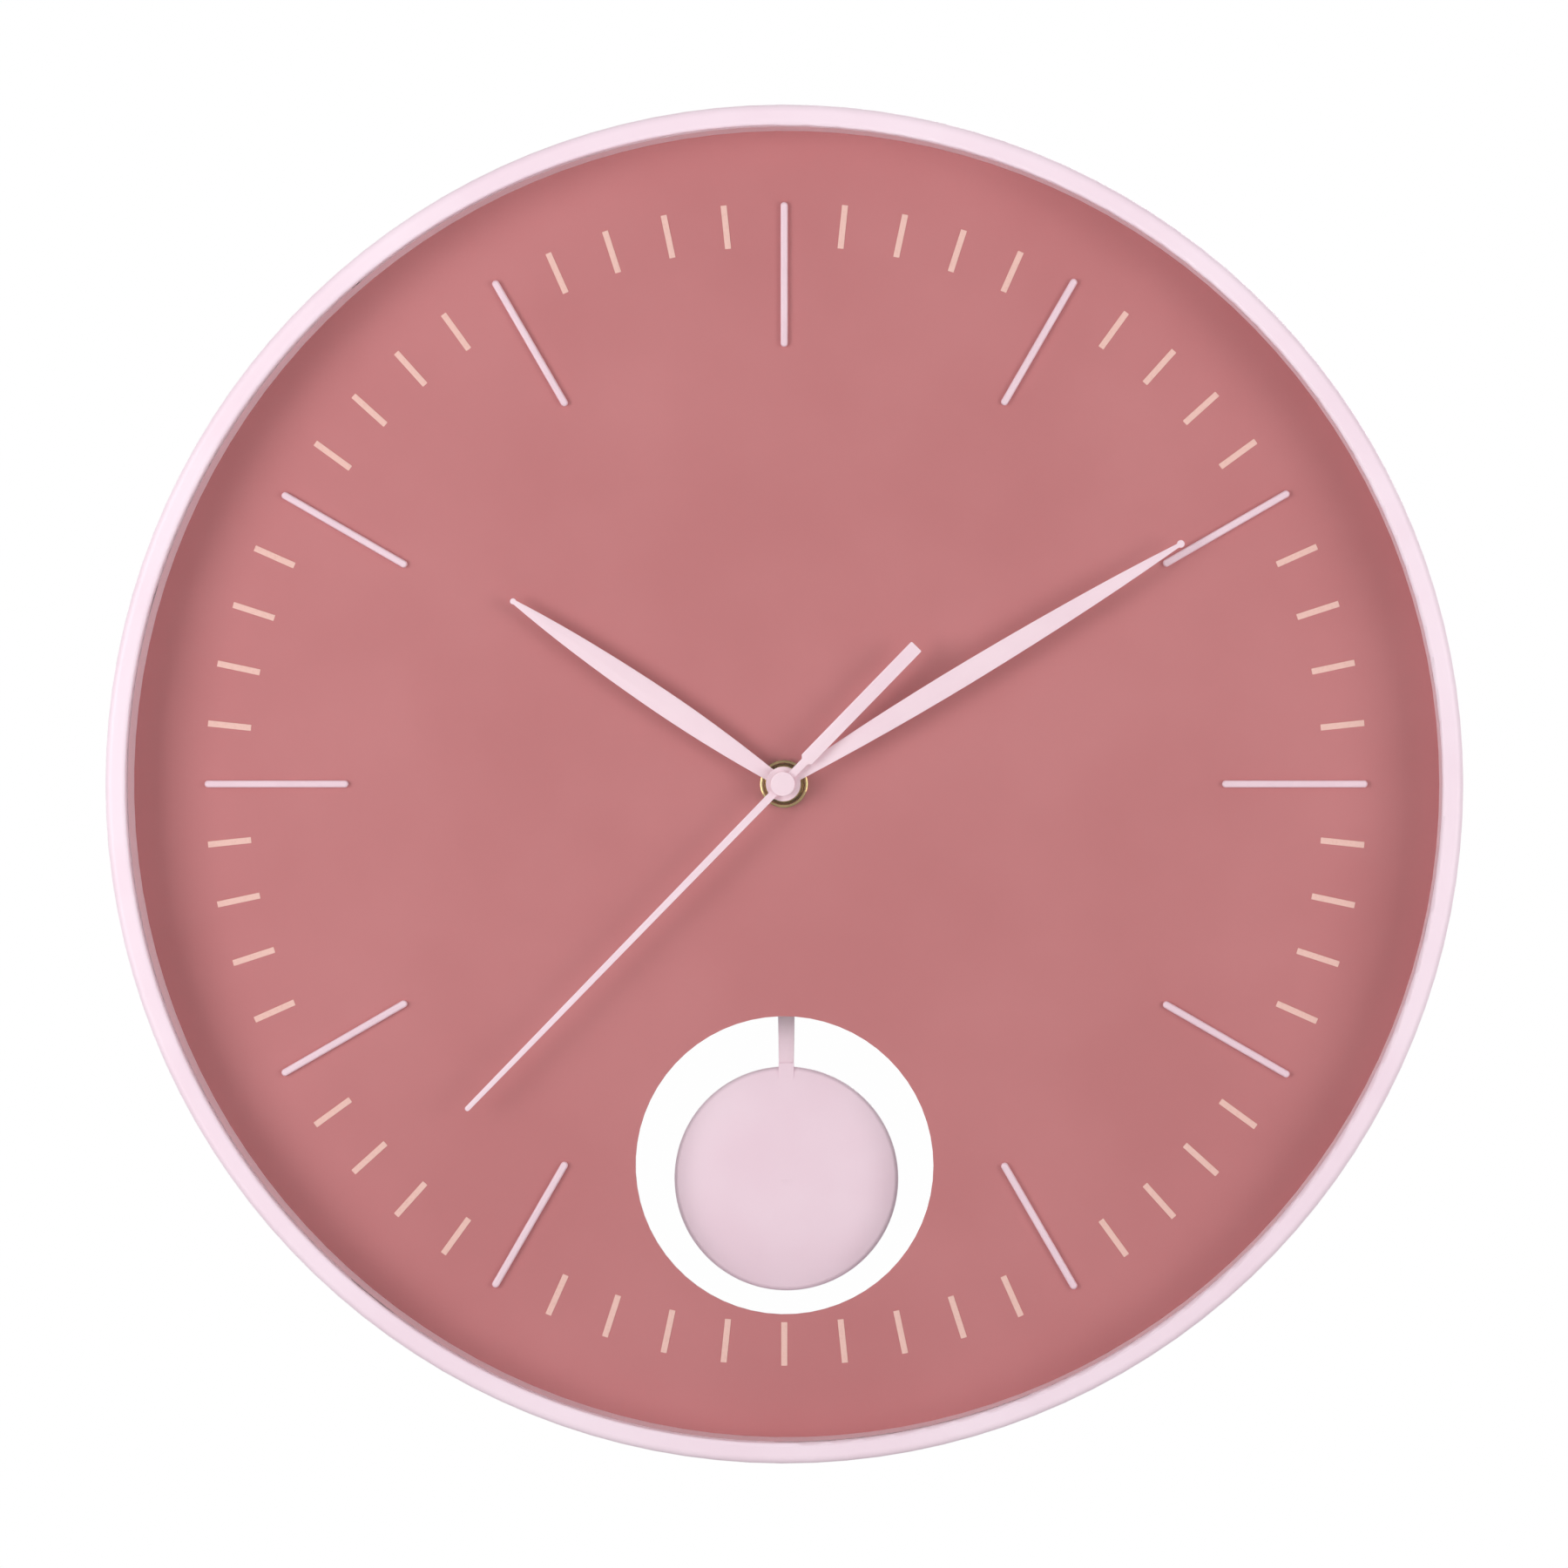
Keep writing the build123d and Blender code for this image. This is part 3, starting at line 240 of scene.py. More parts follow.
# Soft iron stampings: darker, duller, no plating
soft_iron = metal_finish(
    "soft_iron_stamping", "#74777B", "#8D9094", 1.8, (1.0, 1.0, 0.4), (0.4, 0.55), 0.01
)
# Nickel-plated magnets: dark bright skin
magnet_skin = metal_finish(
    "nickel_plated_magnet", "#8E9094", "#A7A9AD", 2.0, (1.0, 1.0, 1.0), (0.16, 0.26), 0.004
)

# Black ABS of the movement box: dull, with a fine eroded grain drawn at 0.7 mm so that it shows
black_abs = moulded_finish("black_abs_moulding", "#141518", "#1E1F23", 0.7, 0.05, (0.48, 0.6))
# Natural acetal wheels: milky, smooth and slightly glossy
acetal = moulded_finish("natural_acetal_moulding", "#E2DDCC", "#EEEADD", 0.9, 0.01, (0.32, 0.42))
# Nitrile rubber: matt charcoal
rubber = moulded_finish("nitrile_rubber", "#1A1A1B", "#242425", 0.8, 0.03, (0.75, 0.88))
# Epoxy blob over the chip: black and glossy
resin = moulded_finish("black_epoxy_resin", "#0B0B0C", "#151516", 1.6, 0.01, (0.18, 0.3))
# Glass-fibre board: green lacquer over a woven ground
board_lacquer = moulded_finish("lacquered_glass_fibre", "#12522F", "#1C6B3E", 0.9, 0.02, (0.3, 0.42))

# Copper windings: straight turns round the motor's bobbin, a flat spiral on the drive coil
motor_copper = wound_finish("enamelled_copper_bobbin", "BANDS", ("bands_direction", "X"))
drive_copper = wound_finish("enamelled_copper_spiral", "RINGS", ("rings_direction", "Y"))


def dial_finish():
    """Old-rose matt paint on sheet metal: fine grain in front, grey primer on the back."""
    primer_from = -0.02885
    finish, tree, shader, place = start_finish("old_rose_paint_on_sheet")
    cloud = add_noise(tree, place, 45.0, 3.0)
    grain = add_noise(tree, place, 0.8, 2.0)
    rose = two_tones(tree, cloud.outputs[0], "#BC6E70", "#C27577")
    primer = two_tones(tree, cloud.outputs[0], "#8B8A8B", "#979697")
    axes = add_node(tree, "ShaderNodeSeparateXYZ", {}, {"Vector": place})
    is_back = add_node(
        tree,
        "ShaderNodeMath",
        {"operation": "GREATER_THAN", "Value_001": primer_from},
        {"Value": axes.outputs["Y"]},
    )
    coat = add_node(
        tree,
        "ShaderNodeMix",
        {"data_type": "RGBA"},
        {"Factor_Float": is_back.outputs[0], "A_Color": rose, "B_Color": primer},
    )
    sheen = add_sheen(tree, grain, 0.58, 0.65)
    relief = add_relief(tree, grain.outputs[0], 0.07, 0.01)
    tree.links.new(coat.outputs[2], shader.inputs["Base Color"])
    link_skin(tree, shader, sheen, relief)
    return finish


def ink_finish():
    """Screen-printed peach ink: matt film with tiny pinholes from the mesh."""
    finish, tree, shader, place = start_finish("screen_print_ink_peach")
    pores = add_noise(tree, place, 0.5, 2.0)
    relief = add_relief(tree, pores.outputs[0], 0.3, 0.01)
    shader.inputs["Roughness"].default_value = 0.7
    tree.links.new(
        two_tones(tree, pores.outputs[0], "#E9BBAF", "#F0C5BA", 0.25, 0.5), shader.inputs["Base Color"]
    )
    tree.links.new(relief.outputs[0], shader.inputs["Normal"])
    return finish


def brass_finish():
    """Turned brass: yellow metal with concentric tool rings, drawn coarse so that they show."""
    ring_mm = 0.5
    finish, tree, shader, place = start_finish("turned_brass")
    rings = add_node(
        tree,
        "ShaderNodeTexWave",
        {
            "wave_type": "RINGS",
            "rings_direction": "Y",
            "Scale": wave_share * per_metre(ring_mm),
            "Distortion": 0.4,
            "Detail": 1.0,
        },
        {"Vector": place},
    )
    tarnish = add_noise(tree, place, 3.0, 3.0)
    sheen = add_sheen(tree, tarnish, 0.13, 0.24)
    relief = add_relief(tree, rings.outputs["Fac"], 0.3, 0.02)
    shader.inputs["Metallic"].default_value = 1.0
    tree.links.new(
        two_tones(tree, tarnish.outputs[0], "#85704D", "#A58D63"), shader.inputs["Base Color"]
    )
    link_skin(tree, shader, sheen, relief)
    return finish


def sleeve_finish():
    """Shrunk PVC sleeve of the cell: graphite, a silver line and a slate band at the plus end."""
    cell_half = 0.025
    line_from = 0.7
    band_from = 0.72
    finish, tree, shader, place = start_finish("shrunk_pvc_sleeve")
    axes = add_node(tree, "ShaderNodeSeparateXYZ", {}, {"Vector": place})
    along = add_node(
        tree,
        "ShaderNodeMapRange",
        {"From Min": -cell_half, "From Max": cell_half},
        {"Value": axes.outputs["X"]},
    )
    bands = add_node(tree, "ShaderNodeValToRGB", {}, {"Fac": along.outputs[0]})
    bands.color_ramp.interpolation = "CONSTANT"
    bands.color_ramp.elements[0].color = linear("#33373C")
    bands.color_ramp.elements[1].position = line_from
    bands.color_ramp.elements[1].color = linear("#C5C8CB")
    slate = bands.color_ramp.elements.new(band_from)
    slate.color = linear("#5B6773")
    wrinkles = add_noise(tree, place, 4.0, 2.0)
    sheen = add_sheen(tree, wrinkles, 0.24, 0.36)
    relief = add_relief(tree, wrinkles.outputs[0], 0.3, 0.05)
    tree.links.new(bands.outputs["Color"], shader.inputs["Base Color"])
    link_skin(tree, shader, sheen, relief)
    return finish


def glass_finish():
    """Clear float glass, thin and flat, so nothing bends: a coated face that mirrors very little."""
    face_on_mirror = 0.017
    finish = bpy.data.materials.new("clear_float_glass")
    finish.use_nodes = True
    tree = finish.node_tree
    tree.nodes.remove(tree.nodes["Principled BSDF"])
    clear = add_node(tree, "ShaderNodeBsdfTransparent", {}, {})
    mirror = add_node(tree, "ShaderNodeBsdfGlossy", {"Roughness": 0.02}, {})
    slant = add_node(tree, "ShaderNodeLayerWeight", {"Blend": 0.5}, {})
    rise = add_node(
        tree, "ShaderNodeMath", {"operation": "POWER", "Value_001": 5.0}, {"Value": slant.outputs["Facing"]}
    )
    share = add_node(
        tree,
        "ShaderNodeMath",
        {"operation": "MULTIPLY_ADD", "Value_001": 1.0 - face_on_mirror, "Value_002": face_on_mirror},
        {"Value": rise.outputs[0]},
    )
    pane = add_node(
        tree,
        "ShaderNodeMixShader",
        {},
        {"Fac": share.outputs[0], "Shader": clear.outputs[0], "Shader_001": mirror.outputs[0]},
    )
    tree.links.new(pane.outputs[0], tree.nodes["Material Output"].inputs["Surface"])
    return finish


dial_paint = dial_finish()
mark_ink = ink_finish()
brass = brass_finish()
cell_sleeve = sleeve_finish()
float_glass = glass_finish()


def dress(finish, *names):
    """Give frame nodes their finish."""
    for name in names:
        frame["nodes"][name].material_slots[0].material = finish


baton_names = [name for name in frame["nodes"] if name.startswith("hour_baton_")]
dress(case_paint, "case_ring")
dress(spacer_paint_painted_shade, "spacer_ring")
dress(float_glass, "lens_glass")
dress(dial_paint, "dial_plate")
dress(mark_ink, "minute_marks")
dress(baton_paint, *baton_names)
dress(hand_paint, "hour_hand", "minute_hand", "second_hand", "second_hand_cap")
dress(brass, "fixing_nut", "threaded_bush")
dress(rubber, "cushion_washer")
dress(zinc_steel, "snap_ring", "hanger_plate", "cover_screws", "plate_screws", "seconds_arbor")
dress(zinc_steel, "pendulum_pivot", "battery_contact_positive", "battery_contact_negative")
dress(black_abs, "movement_shell", "movement_cover", "setting_knob", "coil_bobbin")
dress(acetal, "train_plate", "seconds_wheel", "intermediate_wheel", "rotor_pinion", "third_wheel")
dress(acetal, "centre_wheel", "minute_wheel", "hour_wheel", "pendulum_lever")
dress(soft_iron, "motor_stator", "coil_core")
dress(motor_copper, "coil_winding")
dress(drive_copper, "pendulum_coil")
dress(magnet_skin, "rotor_magnet", "pendulum_magnet")
dress(board_lacquer, "circuit_board")
dress(resin, "timing_chip")
dress(drawn_can, "quartz_crystal")
dress(cell_sleeve, "battery_cell")
dress(rod_paint, "pendulum_rod")
dress(bob_paint, "pendulum_bob")


smooth_limit = math.radians(35)
weld_reach = 0.000002
copy_weld_reach = 0.000001
flat_limit = math.radians(0.3)
sharp_limit = math.radians(40)


def settle(piece, body, slot, finish, *nodes):
    """Finish a modelled piece: one smooth skin, its place in its mesh, its body and its finish. The slot
    argument is not used.
    """
    bpy.ops.object.select_all(action="DESELECT")
    piece.select_set(True)
    bpy.context.view_layer.objects.active = piece
    bpy.ops.object.transform_apply(location=True, rotation=True, scale=True)
    bpy.ops.object.shade_smooth_by_angle(angle=smooth_limit)
    if not piece.data.materials:
        piece.data.materials.append(finish)
    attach(piece, body)
    if nodes:
        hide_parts(*nodes)
    return piece


def turned_piece(name, profile_mm, solid=True, segments=72):
    """Lathe work: a ring drawn out along its axis through (reach, radius) stations."""
    bpy.ops.object.select_all(action="DESELECT")
    reach, radius = profile_mm[0]
    bpy.ops.mesh.primitive_circle_add(
        vertices=segments,
        radius=radius / 1000,
        fill_type="NGON" if solid else "NOTHING",
        location=(0, 0, 0),
    )
    piece = bpy.context.object
    piece.name = name
    bpy.ops.object.mode_set(mode="EDIT")
    bpy.ops.mesh.select_all(action="SELECT")
    bpy.ops.transform.translate(value=(0, 0, reach / 1000))
    for next_reach, next_radius in profile_mm[1:]:
        bpy.ops.mesh.extrude_region_move(
            TRANSFORM_OT_translate={"value": (0, 0, (next_reach - reach) / 1000)}
        )
        swell = next_radius / radius
        bpy.ops.transform.resize(value=(swell, swell, 1), center_override=(0, 0, next_reach / 1000))
        reach, radius = next_reach, next_radius
    bpy.ops.mesh.select_all(action="SELECT")
    bpy.ops.mesh.remove_doubles(threshold=weld_reach)
    bpy.ops.mesh.normals_make_consistent(inside=False)
    bpy.ops.object.mode_set(mode="OBJECT")
    return piece


def softened_copy(node, name, width_mm, wanted=None):
    """A frame node's own shape with its stamped or moulded edges broken."""
    source = frame["nodes"][node]
    piece = source.copy()
    piece.data = source.data.copy()
    piece.name = name
    piece.parent = None
    for key in list(piece.keys()):
        del piece[key]
    scene.collection.objects.link(piece)
    bpy.ops.object.select_all(action="DESELECT")
    piece.select_set(True)
    bpy.context.view_layer.objects.active = piece
    bpy.ops.mesh.customdata_custom_splitnormals_clear()
    bpy.ops.object.mode_set(mode="EDIT")
    bpy.ops.mesh.select_mode(type="EDGE")
    bpy.ops.mesh.select_all(action="SELECT")
    bpy.ops.mesh.remove_doubles(threshold=copy_weld_reach)
    bpy.ops.mesh.dissolve_limited(angle_limit=flat_limit)
    bpy.ops.mesh.select_all(action="DESELECT")
    bpy.ops.mesh.edges_select_sharp(sharpness=sharp_limit)
    bpy.ops.object.mode_set(mode="OBJECT")
    if wanted:
        points = piece.data.vertices
        for edge in piece.data.edges:
            ends = [points[corner].co for corner in edge.vertices]
            edge.select = edge.select and all(wanted(end) for end in ends)
        for point in points:
            point.select = False
        for face in piece.data.polygons:
            face.select = False
    bpy.ops.object.mode_set(mode="EDIT")
    bpy.ops.mesh.bevel(offset=width_mm / 1000, segments=3, affect="EDGES", clamp_overlap=True)
    bpy.ops.object.mode_set(mode="OBJECT")
    return piece


# Stamped hands and the pendulum's strip: edges rolled by the paint
hour_blade = softened_copy("hour_hand", "hour_hand_painted", 0.12)
settle(hour_blade, "hours", "hand_paint", hand_paint, "hour_hand")
minute_blade = softened_copy("minute_hand", "minute_hand_painted", 0.12)
settle(minute_blade, "minutes", "hand_paint", hand_paint, "minute_hand")
second_blade = softened_copy("second_hand", "second_hand_painted", 0.12)
settle(second_blade, "seconds", "hand_paint", hand_paint, "second_hand")
rod_strip = softened_copy("pendulum_rod", "pendulum_rod_painted", 0.2)
settle(rod_strip, "pendulum", "rod_paint", rod_paint, "pendulum_rod")

# Hanger plate: sheared steel with its burr taken off
hanger = softened_copy("hanger_plate", "hanger_plate_deburred", 0.15)
settle(hanger, "case", "steel", zinc_steel, "hanger_plate")

# Setting knob: moulded, with rounded flutes
knob = softened_copy("setting_knob", "setting_knob_moulded", 0.25)
settle(knob, "minute_work", "black_plastic", black_abs, "setting_knob")

# Movement box: outer edges of shell and cover rounded by the tool
shell_low, shell_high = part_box("movement_shell")
skin_depth = 0.0012


def on_box_skin(point):
    """True on the outside of the movement box, away from its cavities."""
    gaps = (point.x - shell_low.x, shell_high.x - point.x, point.z - shell_low.z, shell_high.z - point.z)
    return min(gaps) < skin_depth


shell = softened_copy("movement_shell", "movement_shell_moulded", 0.4, on_box_skin)
settle(shell, "case", "black_plastic", black_abs, "movement_shell")
cover = softened_copy("movement_cover", "movement_cover_moulded", 0.3, on_box_skin)
settle(cover, "case", "black_plastic", black_abs, "movement_cover")

# Dial nut: turned brass, flat rim bevelled outside, and a dish that falls to the bush
facing_viewer = (math.pi / 2, 0, 0)
nut_profile = [
    (30.0, 4.02),
    (30.0, 5.25),
    (30.08, 5.3),
    (31.84, 5.3),
    (31.88, 5.28),
    (31.98, 5.08),
    (32.0, 5.04),
    (32.0, 4.62),
    (31.98, 4.58),
    (31.8, 4.06),
    (31.76, 4.02),
    (30.0, 4.02),
]
nut = turned_piece("dial_nut_turned", nut_profile, solid=False)
nut.rotation_euler = facing_viewer
settle(nut, "case", "brass", brass, "fixing_nut")

# Cover screws: pan heads with a cross recess, one made and copied to the four bosses
screw_profile = [
    (19.6, 0.4),
    (18.9, 0.98),
    (10.5, 0.98),
    (10.5, 1.75),
    (10.42, 1.8),
    (9.85, 1.8),
    (9.55, 1.62),
    (9.38, 1.25),
    (9.3, 0.7),
]
recess_place = (0, 0, 0.0094)
recess_size = (2.1, 0.5, 1.1)
screw_turn = 0.4
cover_screw = turned_piece("cover_screw", screw_profile, segments=32)
for turn in (0.0, math.pi / 2):
    bpy.ops.object.select_all(action="DESELECT")
    bpy.ops.mesh.primitive_cube_add(size=0.001, location=recess_place, rotation=(0, 0, turn))
    cutter = bpy.context.object
    cutter.scale = recess_size
    bpy.ops.object.transform_apply(location=True, rotation=True, scale=True)
    bpy.ops.object.select_all(action="DESELECT")
    cover_screw.select_set(True)
    bpy.context.view_layer.objects.active = cover_screw
    recess = cover_screw.modifiers.new("recess", "BOOLEAN")
    recess.object = cutter
    recess.solver = "EXACT"
    bpy.ops.object.modifier_apply(modifier="recess")
    bpy.data.objects.remove(cutter)
boss_x = 0.0245
boss_z = (-0.042, 0.0075)
screws = []
for x in (-boss_x, boss_x):
    for z in boss_z:
        screw = cover_screw.copy()
        screw.data = cover_screw.data.copy()
        scene.collection.objects.link(screw)
        screw.rotation_euler = (math.pi / 2, screw_turn * len(screws), 0)
        screw.location = (x, 0, z)
        screws.append(screw)
bpy.data.objects.remove(cover_screw)
bpy.ops.object.select_all(action="DESELECT")
for screw in screws:
    screw.select_set(True)
bpy.context.view_layer.objects.active = screws[0]
bpy.ops.object.transform_apply(location=True, rotation=True, scale=True)
bpy.ops.object.join()
screw_set = bpy.context.object
screw_set.name = "cover_screw_set"
settle(screw_set, "case", "steel", zinc_steel, "cover_screws")

# Cell: drawn can with a shrunk sleeve, a rolled lip at each end and a stepped plus button
cell_profile = [
    (-25.0, 5.0),
    (-24.9, 5.3),
    (-24.75, 5.5),
    (-24.75, 6.2),
    (-24.95, 6.5),
    (-24.85, 6.9),
    (-24.5, 7.18),
    (-24.0, 7.25),
    (21.9, 7.25),
    (22.7, 7.18),
    (23.2, 6.9),
    (23.42, 6.5),
    (23.4, 6.1),
    (23.2, 5.9),
    (23.25, 4.2),
    (23.5, 3.9),
    (23.5, 2.9),
    (23.65, 2.74),
    (24.6, 2.7),
    (24.9, 2.45),
    (25.0, 2.0),
]
cell_low, cell_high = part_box("battery_cell")
cell_middle = (cell_low + cell_high) / 2
cell = turned_piece("battery_cell_sleeved", cell_profile)
cell.rotation_euler = (0, math.pi / 2, 0)
cell.location = (0, cell_middle.y, cell_middle.z)
cell.data.materials.append(drawn_can)
cell.data.materials.append(cell_sleeve)
sleeve_radius = 0.0060
for face in cell.data.polygons:
    face.material_index = int(math.hypot(face.center.x, face.center.y) > sleeve_radius)
settle(cell, "case", "cell_wrap", cell_sleeve, "battery_cell")

# Moulded signs on the cover: a setting arrow round the knob, plus and minus by the cell
cover_face = 0.0105
sign_relief = 0.0003


def raise_sign(piece):
    """Give a flat sign its relief on the cover and turn it to stand on the wall plane."""
    bpy.context.view_layer.objects.active = piece
    bpy.ops.object.mode_set(mode="EDIT")
    bpy.ops.mesh.select_all(action="SELECT")
    bpy.ops.mesh.extrude_region_move(TRANSFORM_OT_translate={"value": (0, 0, -sign_relief)})
    bpy.ops.mesh.select_all(action="SELECT")
    bpy.ops.mesh.normals_make_consistent(inside=False)
    bpy.ops.object.mode_set(mode="OBJECT")
    piece.rotation_euler = facing_viewer
    settle(piece, "case", "black_plastic", black_abs)


arrow_inner = 0.0072
arrow_outer = 0.0080
arrow_middle = (arrow_inner + arrow_outer) / 2
arrow_sweep = 230
arrow_head = 0.0014
head_drop = 0.0005
knob_axis = (-0.010, 0.0)
bpy.ops.object.select_all(action="DESELECT")
bpy.ops.mesh.primitive_circle_add(
    vertices=72, radius=arrow_inner, fill_type="NOTHING", location=(0, 0, 0)
)
arrow = bpy.context.object
arrow.name = "setting_arrow"
for point in arrow.data.vertices:
    point.select = math.degrees(math.atan2(point.co.y, point.co.x)) % 360 > arrow_sweep
bpy.ops.object.mode_set(mode="EDIT")
bpy.ops.mesh.delete(type="VERT")
bpy.ops.mesh.select_all(action="SELECT")
bpy.ops.mesh.extrude_region_move()
swell = arrow_outer / arrow_inner
bpy.ops.transform.resize(value=(swell, swell, 1), center_override=(0, 0, 0))
bpy.ops.object.mode_set(mode="OBJECT")
bpy.ops.mesh.primitive_circle_add(
    vertices=3,
    radius=arrow_head,
    fill_type="NGON",
    location=(arrow_middle, -head_drop, 0),
    rotation=(0, 0, math.pi),
)
arrow.select_set(True)
bpy.context.view_layer.objects.active = arrow
bpy.ops.object.join()
arrow.location = (knob_axis[0], 0, knob_axis[1])
bpy.ops.object.mode_set(mode="EDIT")
bpy.ops.mesh.select_all(action="SELECT")
bpy.ops.transform.translate(value=(0, 0, cover_face))
bpy.ops.object.mode_set(mode="OBJECT")
raise_sign(arrow)

sign_reach = 0.0019
sign_half = 0.0003
sign_arm = sign_reach - sign_half
sign_side = 0.0190
sign_level = 0.0096
for sign_name, sign_x in (("plus_sign", sign_side), ("minus_sign", -sign_side)):
    bpy.ops.object.select_all(action="DESELECT")
    bpy.ops.mesh.primitive_plane_add(size=2 * sign_half, location=(0, 0, 0))
    sign = bpy.context.object
    sign.name = sign_name
    arms = ((1, 0), (-1, 0), (0, 1), (0, -1)) if sign_name == "plus_sign" else ((1, 0), (-1, 0))
    for across, up in arms:
        for edge in sign.data.edges:
            ends = [sign.data.vertices[corner].co for corner in edge.vertices]
            middle = (ends[0] + ends[1]) / 2
            outward = middle.x * across + middle.y * up
            edge.select = outward > 0.9 * sign_half and middle.length < 1.1 * sign_half
        for point in sign.data.vertices:
            point.select = False
        for face in sign.data.polygons:
            face.select = False
        bpy.ops.object.mode_set(mode="EDIT")
        bpy.ops.mesh.select_mode(type="EDGE")
        bpy.ops.mesh.extrude_region_move(
            TRANSFORM_OT_translate={"value": (across * sign_arm, up * sign_arm, 0)}
        )
        bpy.ops.object.mode_set(mode="OBJECT")
    bpy.ops.object.mode_set(mode="EDIT")
    bpy.ops.mesh.select_all(action="SELECT")
    bpy.ops.transform.translate(value=(0, 0, cover_face))
    bpy.ops.object.mode_set(mode="OBJECT")
    sign.location = (sign_x, 0, sign_level)
    raise_sign(sign)

# Moulded ribs that stiffen the lower half of the cover, one made and repeated
rib_length = 0.020
rib_width = 0.0008
rib_depth = 0.0005
rib_round = 0.00018
rib_sink = 0.0001
rib_level = -0.0275
rib_pitch = 0.0032
rib_count = 11
bpy.ops.object.select_all(action="DESELECT")
bpy.ops.mesh.primitive_cube_add(size=1, location=(0, 0, 0))
ribs = bpy.context.object
ribs.name = "cover_ribs"
ribs.scale = (rib_width, rib_depth, rib_length)
bpy.ops.object.transform_apply(location=True, rotation=True, scale=True)
bpy.ops.object.mode_set(mode="EDIT")
bpy.ops.mesh.select_all(action="SELECT")
bpy.ops.mesh.bevel(offset=rib_round, segments=2, affect="EDGES")
bpy.ops.object.mode_set(mode="OBJECT")
rib_row = ribs.modifiers.new("row", "ARRAY")
rib_row.count = rib_count
rib_row.use_relative_offset = False
rib_row.use_constant_offset = True
rib_row.constant_offset_displace = (rib_pitch, 0, 0)
bpy.ops.object.modifier_apply(modifier="row")
ribs.location = (-rib_pitch * (rib_count - 1) / 2, -cover_face + rib_sink, rib_level)
settle(ribs, "case", "black_plastic", black_abs)

# Studio: white surround, a pale floor well below the clock, two tall softboxes and fills
ambient = 0.362


def seen_share(tree):
    """1 where a ray comes from the eye, a mirror or a pane, 0 where it only carries light."""
    path = add_node(tree, "ShaderNodeLightPath", {}, {})
    seen = add_node(
        tree,
        "ShaderNodeMath",
        {"operation": "MAXIMUM"},
        {"Value": path.outputs["Is Camera Ray"], "Value_001": path.outputs["Is Glossy Ray"]},
    )
    seen_through = add_node(
        tree,
        "ShaderNodeMath",
        {"operation": "MAXIMUM"},
        {"Value": seen.outputs[0], "Value_001": path.outputs["Is Transmission Ray"]},
    )
    return seen_through.outputs[0]


world = bpy.data.worlds.new("white_studio")
scene.world = world
world.use_nodes = True
sky = world.node_tree
strength = add_node(
    sky,
    "ShaderNodeMath",
    {"operation": "MULTIPLY_ADD", "Value_001": 1.0 - ambient, "Value_002": ambient},
    {"Value": seen_share(sky)},
)
surround = sky.nodes["Background"]
surround.inputs["Color"].default_value = linear("#FFFFFF")
sky.links.new(strength.outputs[0], surround.inputs["Strength"])

floor_level = -0.42
floor_radius = 0.75
fade_start = 0.2
fade_end = 0.96 * floor_radius
bpy.ops.object.select_all(action="DESELECT")
bpy.ops.mesh.primitive_circle_add(
    vertices=96, radius=floor_radius, fill_type="NGON", location=(0, 0, floor_level)
)
floor = bpy.context.object
floor.name = "studio_floor"
floor_paper = bpy.data.materials.new("white_studio_paper")
floor_paper.use_nodes = True
paper = floor_paper.node_tree
paper_place = add_node(paper, "ShaderNodeTexCoord", {}, {})
paper_reach = add_node(
    paper, "ShaderNodeVectorMath", {"operation": "LENGTH"}, {"Vector": paper_place.outputs["Object"]}
)
paper_fade = add_node(
    paper,
    "ShaderNodeMapRange",
    {"From Min": fade_start, "From Max": fade_end, "To Min": 0.5, "To Max": 1.0},
    {"Value": paper_reach.outputs["Value"]},
)
paper_seen = add_node(
    paper,
    "ShaderNodeMath",
    {"operation": "MULTIPLY"},
    {"Value": paper_fade.outputs[0], "Value_001": seen_share(paper)},
)
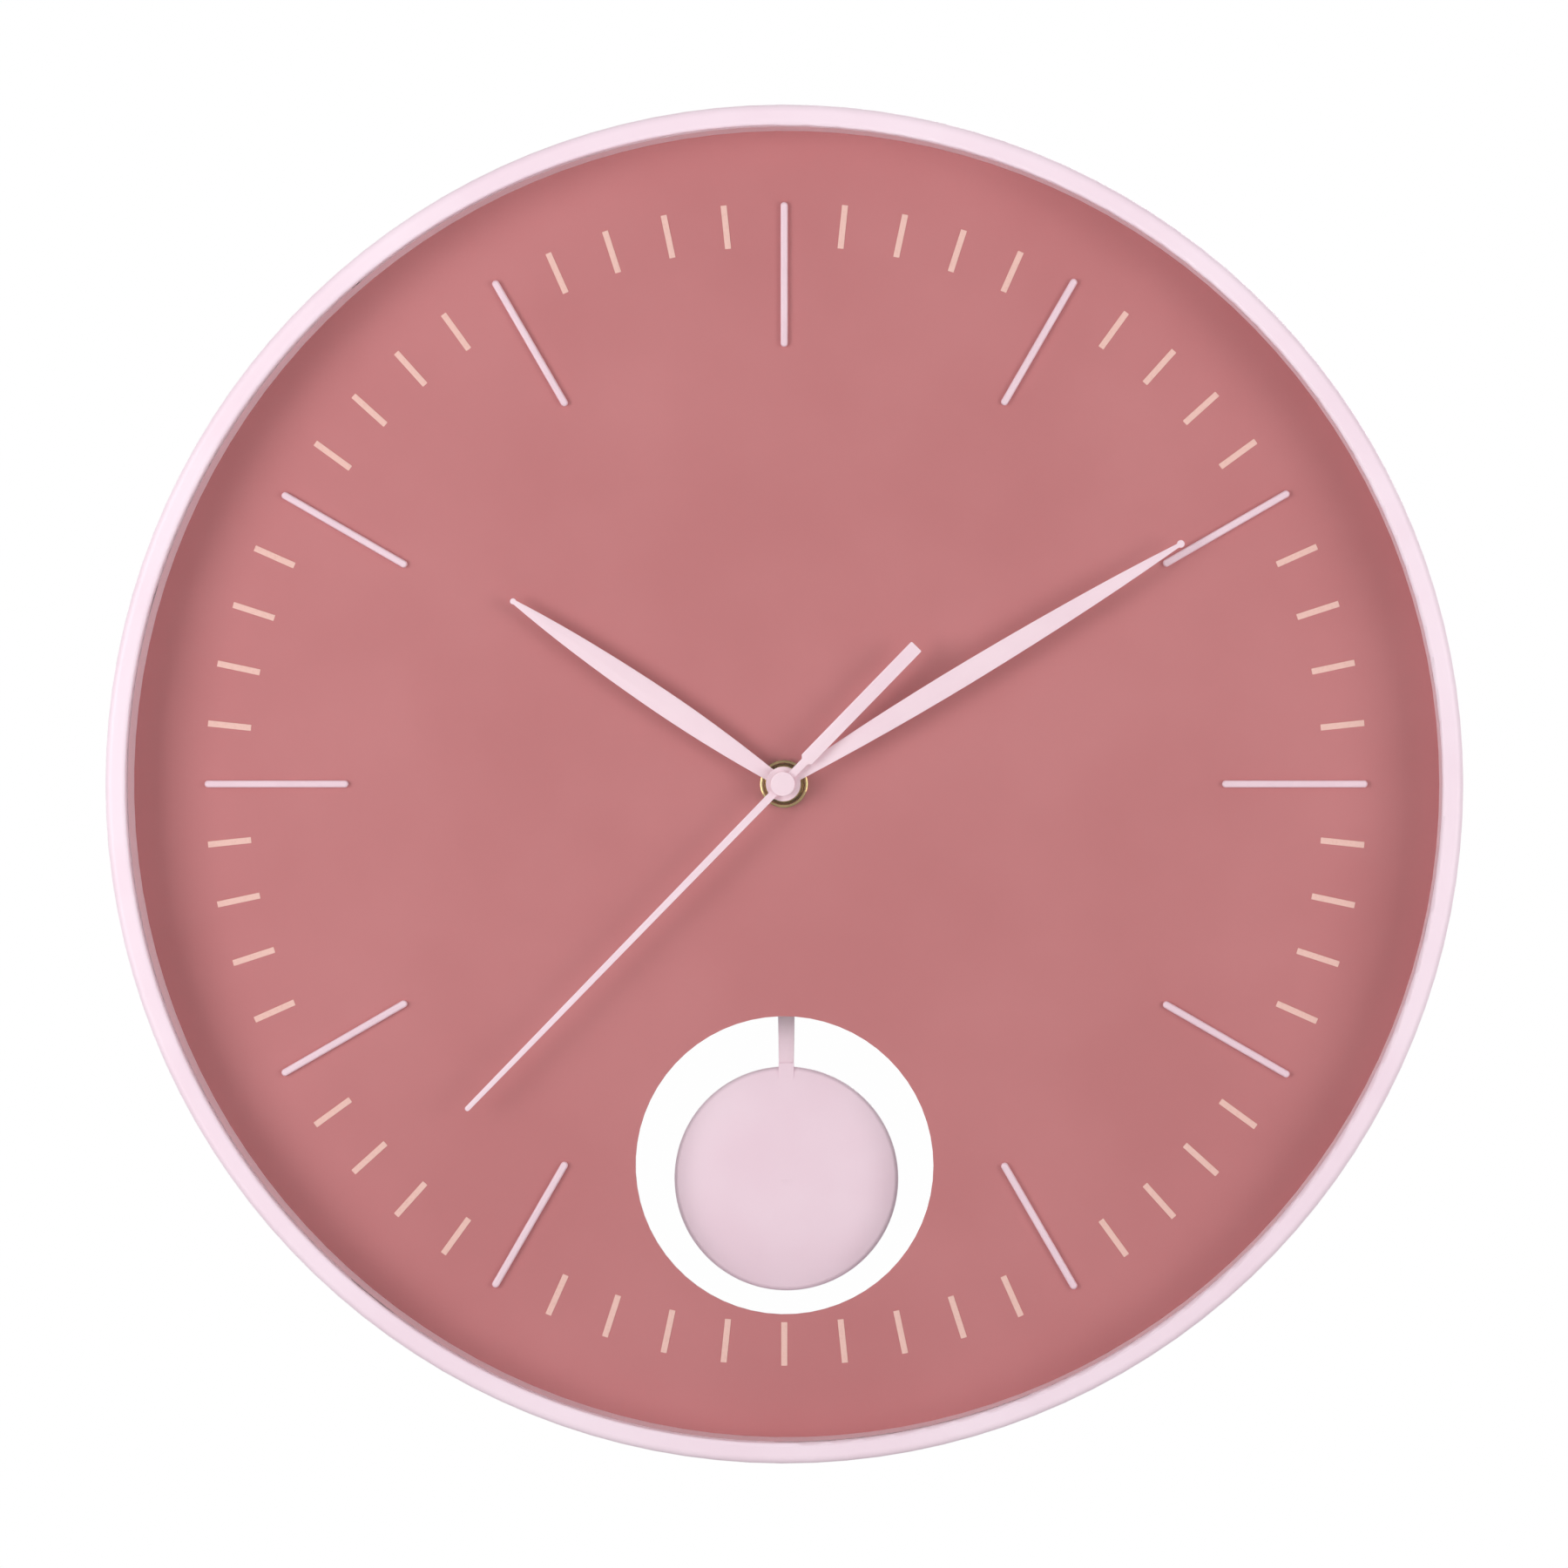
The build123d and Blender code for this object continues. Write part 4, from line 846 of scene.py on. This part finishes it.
paper_white = add_node(paper, "ShaderNodeEmission", {"Color": linear("#FFFFFF"), "Strength": 1.0}, {})
paper_mix = paper.nodes.new("ShaderNodeMixShader")
paper.nodes["Principled BSDF"].inputs["Base Color"].default_value = linear("#CFCECE")
paper.nodes["Principled BSDF"].inputs["Roughness"].default_value = 0.9
paper.links.new(paper_seen.outputs[0], paper_mix.inputs[0])
paper.links.new(paper.nodes["Principled BSDF"].outputs[0], paper_mix.inputs[1])
paper.links.new(paper_white.outputs[0], paper_mix.inputs[2])
paper.links.new(paper_mix.outputs[0], paper.nodes["Material Output"].inputs["Surface"])
floor.data.materials.append(floor_paper)


def add_softbox(name, place, width, height, power, aim=rim_front, spread=180):
    """Soft lamp, gridded where its spread is small, that isn't seen itself."""
    bpy.ops.object.light_add(type="AREA", location=place)
    lamp = bpy.context.object
    lamp.name = name
    lamp.rotation_euler = (Vector(aim) - lamp.location).to_track_quat("-Z", "Y").to_euler()
    lamp.data.shape = "RECTANGLE"
    lamp.data.size = width
    lamp.data.size_y = height
    lamp.data.energy = power
    lamp.data.spread = math.radians(spread)
    lamp.visible_camera = False
    return lamp


dial_upper = (0.0, -0.045, 0.12)
dial_spread = 120
left_lamp = add_softbox(
    "left_softbox",
    (-0.56, -0.63, 0.04),
    width=0.42,
    height=0.5,
    power=1.68,
    aim=dial_upper,
    spread=dial_spread,
)
right_lamp = add_softbox(
    "right_softbox",
    (0.64, -0.63, 0.04),
    width=0.44,
    height=0.5,
    power=1.34,
    aim=dial_upper,
    spread=dial_spread,
)
add_softbox("top_softbox", (0.0, 0.2, 1.7), width=1.4, height=0.8, power=4.0)
add_softbox("back_softbox", (0.5, 1.7, 0.9), width=1.2, height=1.2, power=12.0)

# The two dial lamps are kept out of the glass, as by a polarising filter, so they don't mirror in it
without_glass = bpy.data.collections.new("all_but_glass")
without_glass.objects.link(frame["nodes"]["lens_glass"])
without_glass.collection_objects[0].light_linking.link_state = "EXCLUDE"
for lamp in (left_lamp, right_lamp):
    lamp.light_linking.receiver_collection = without_glass
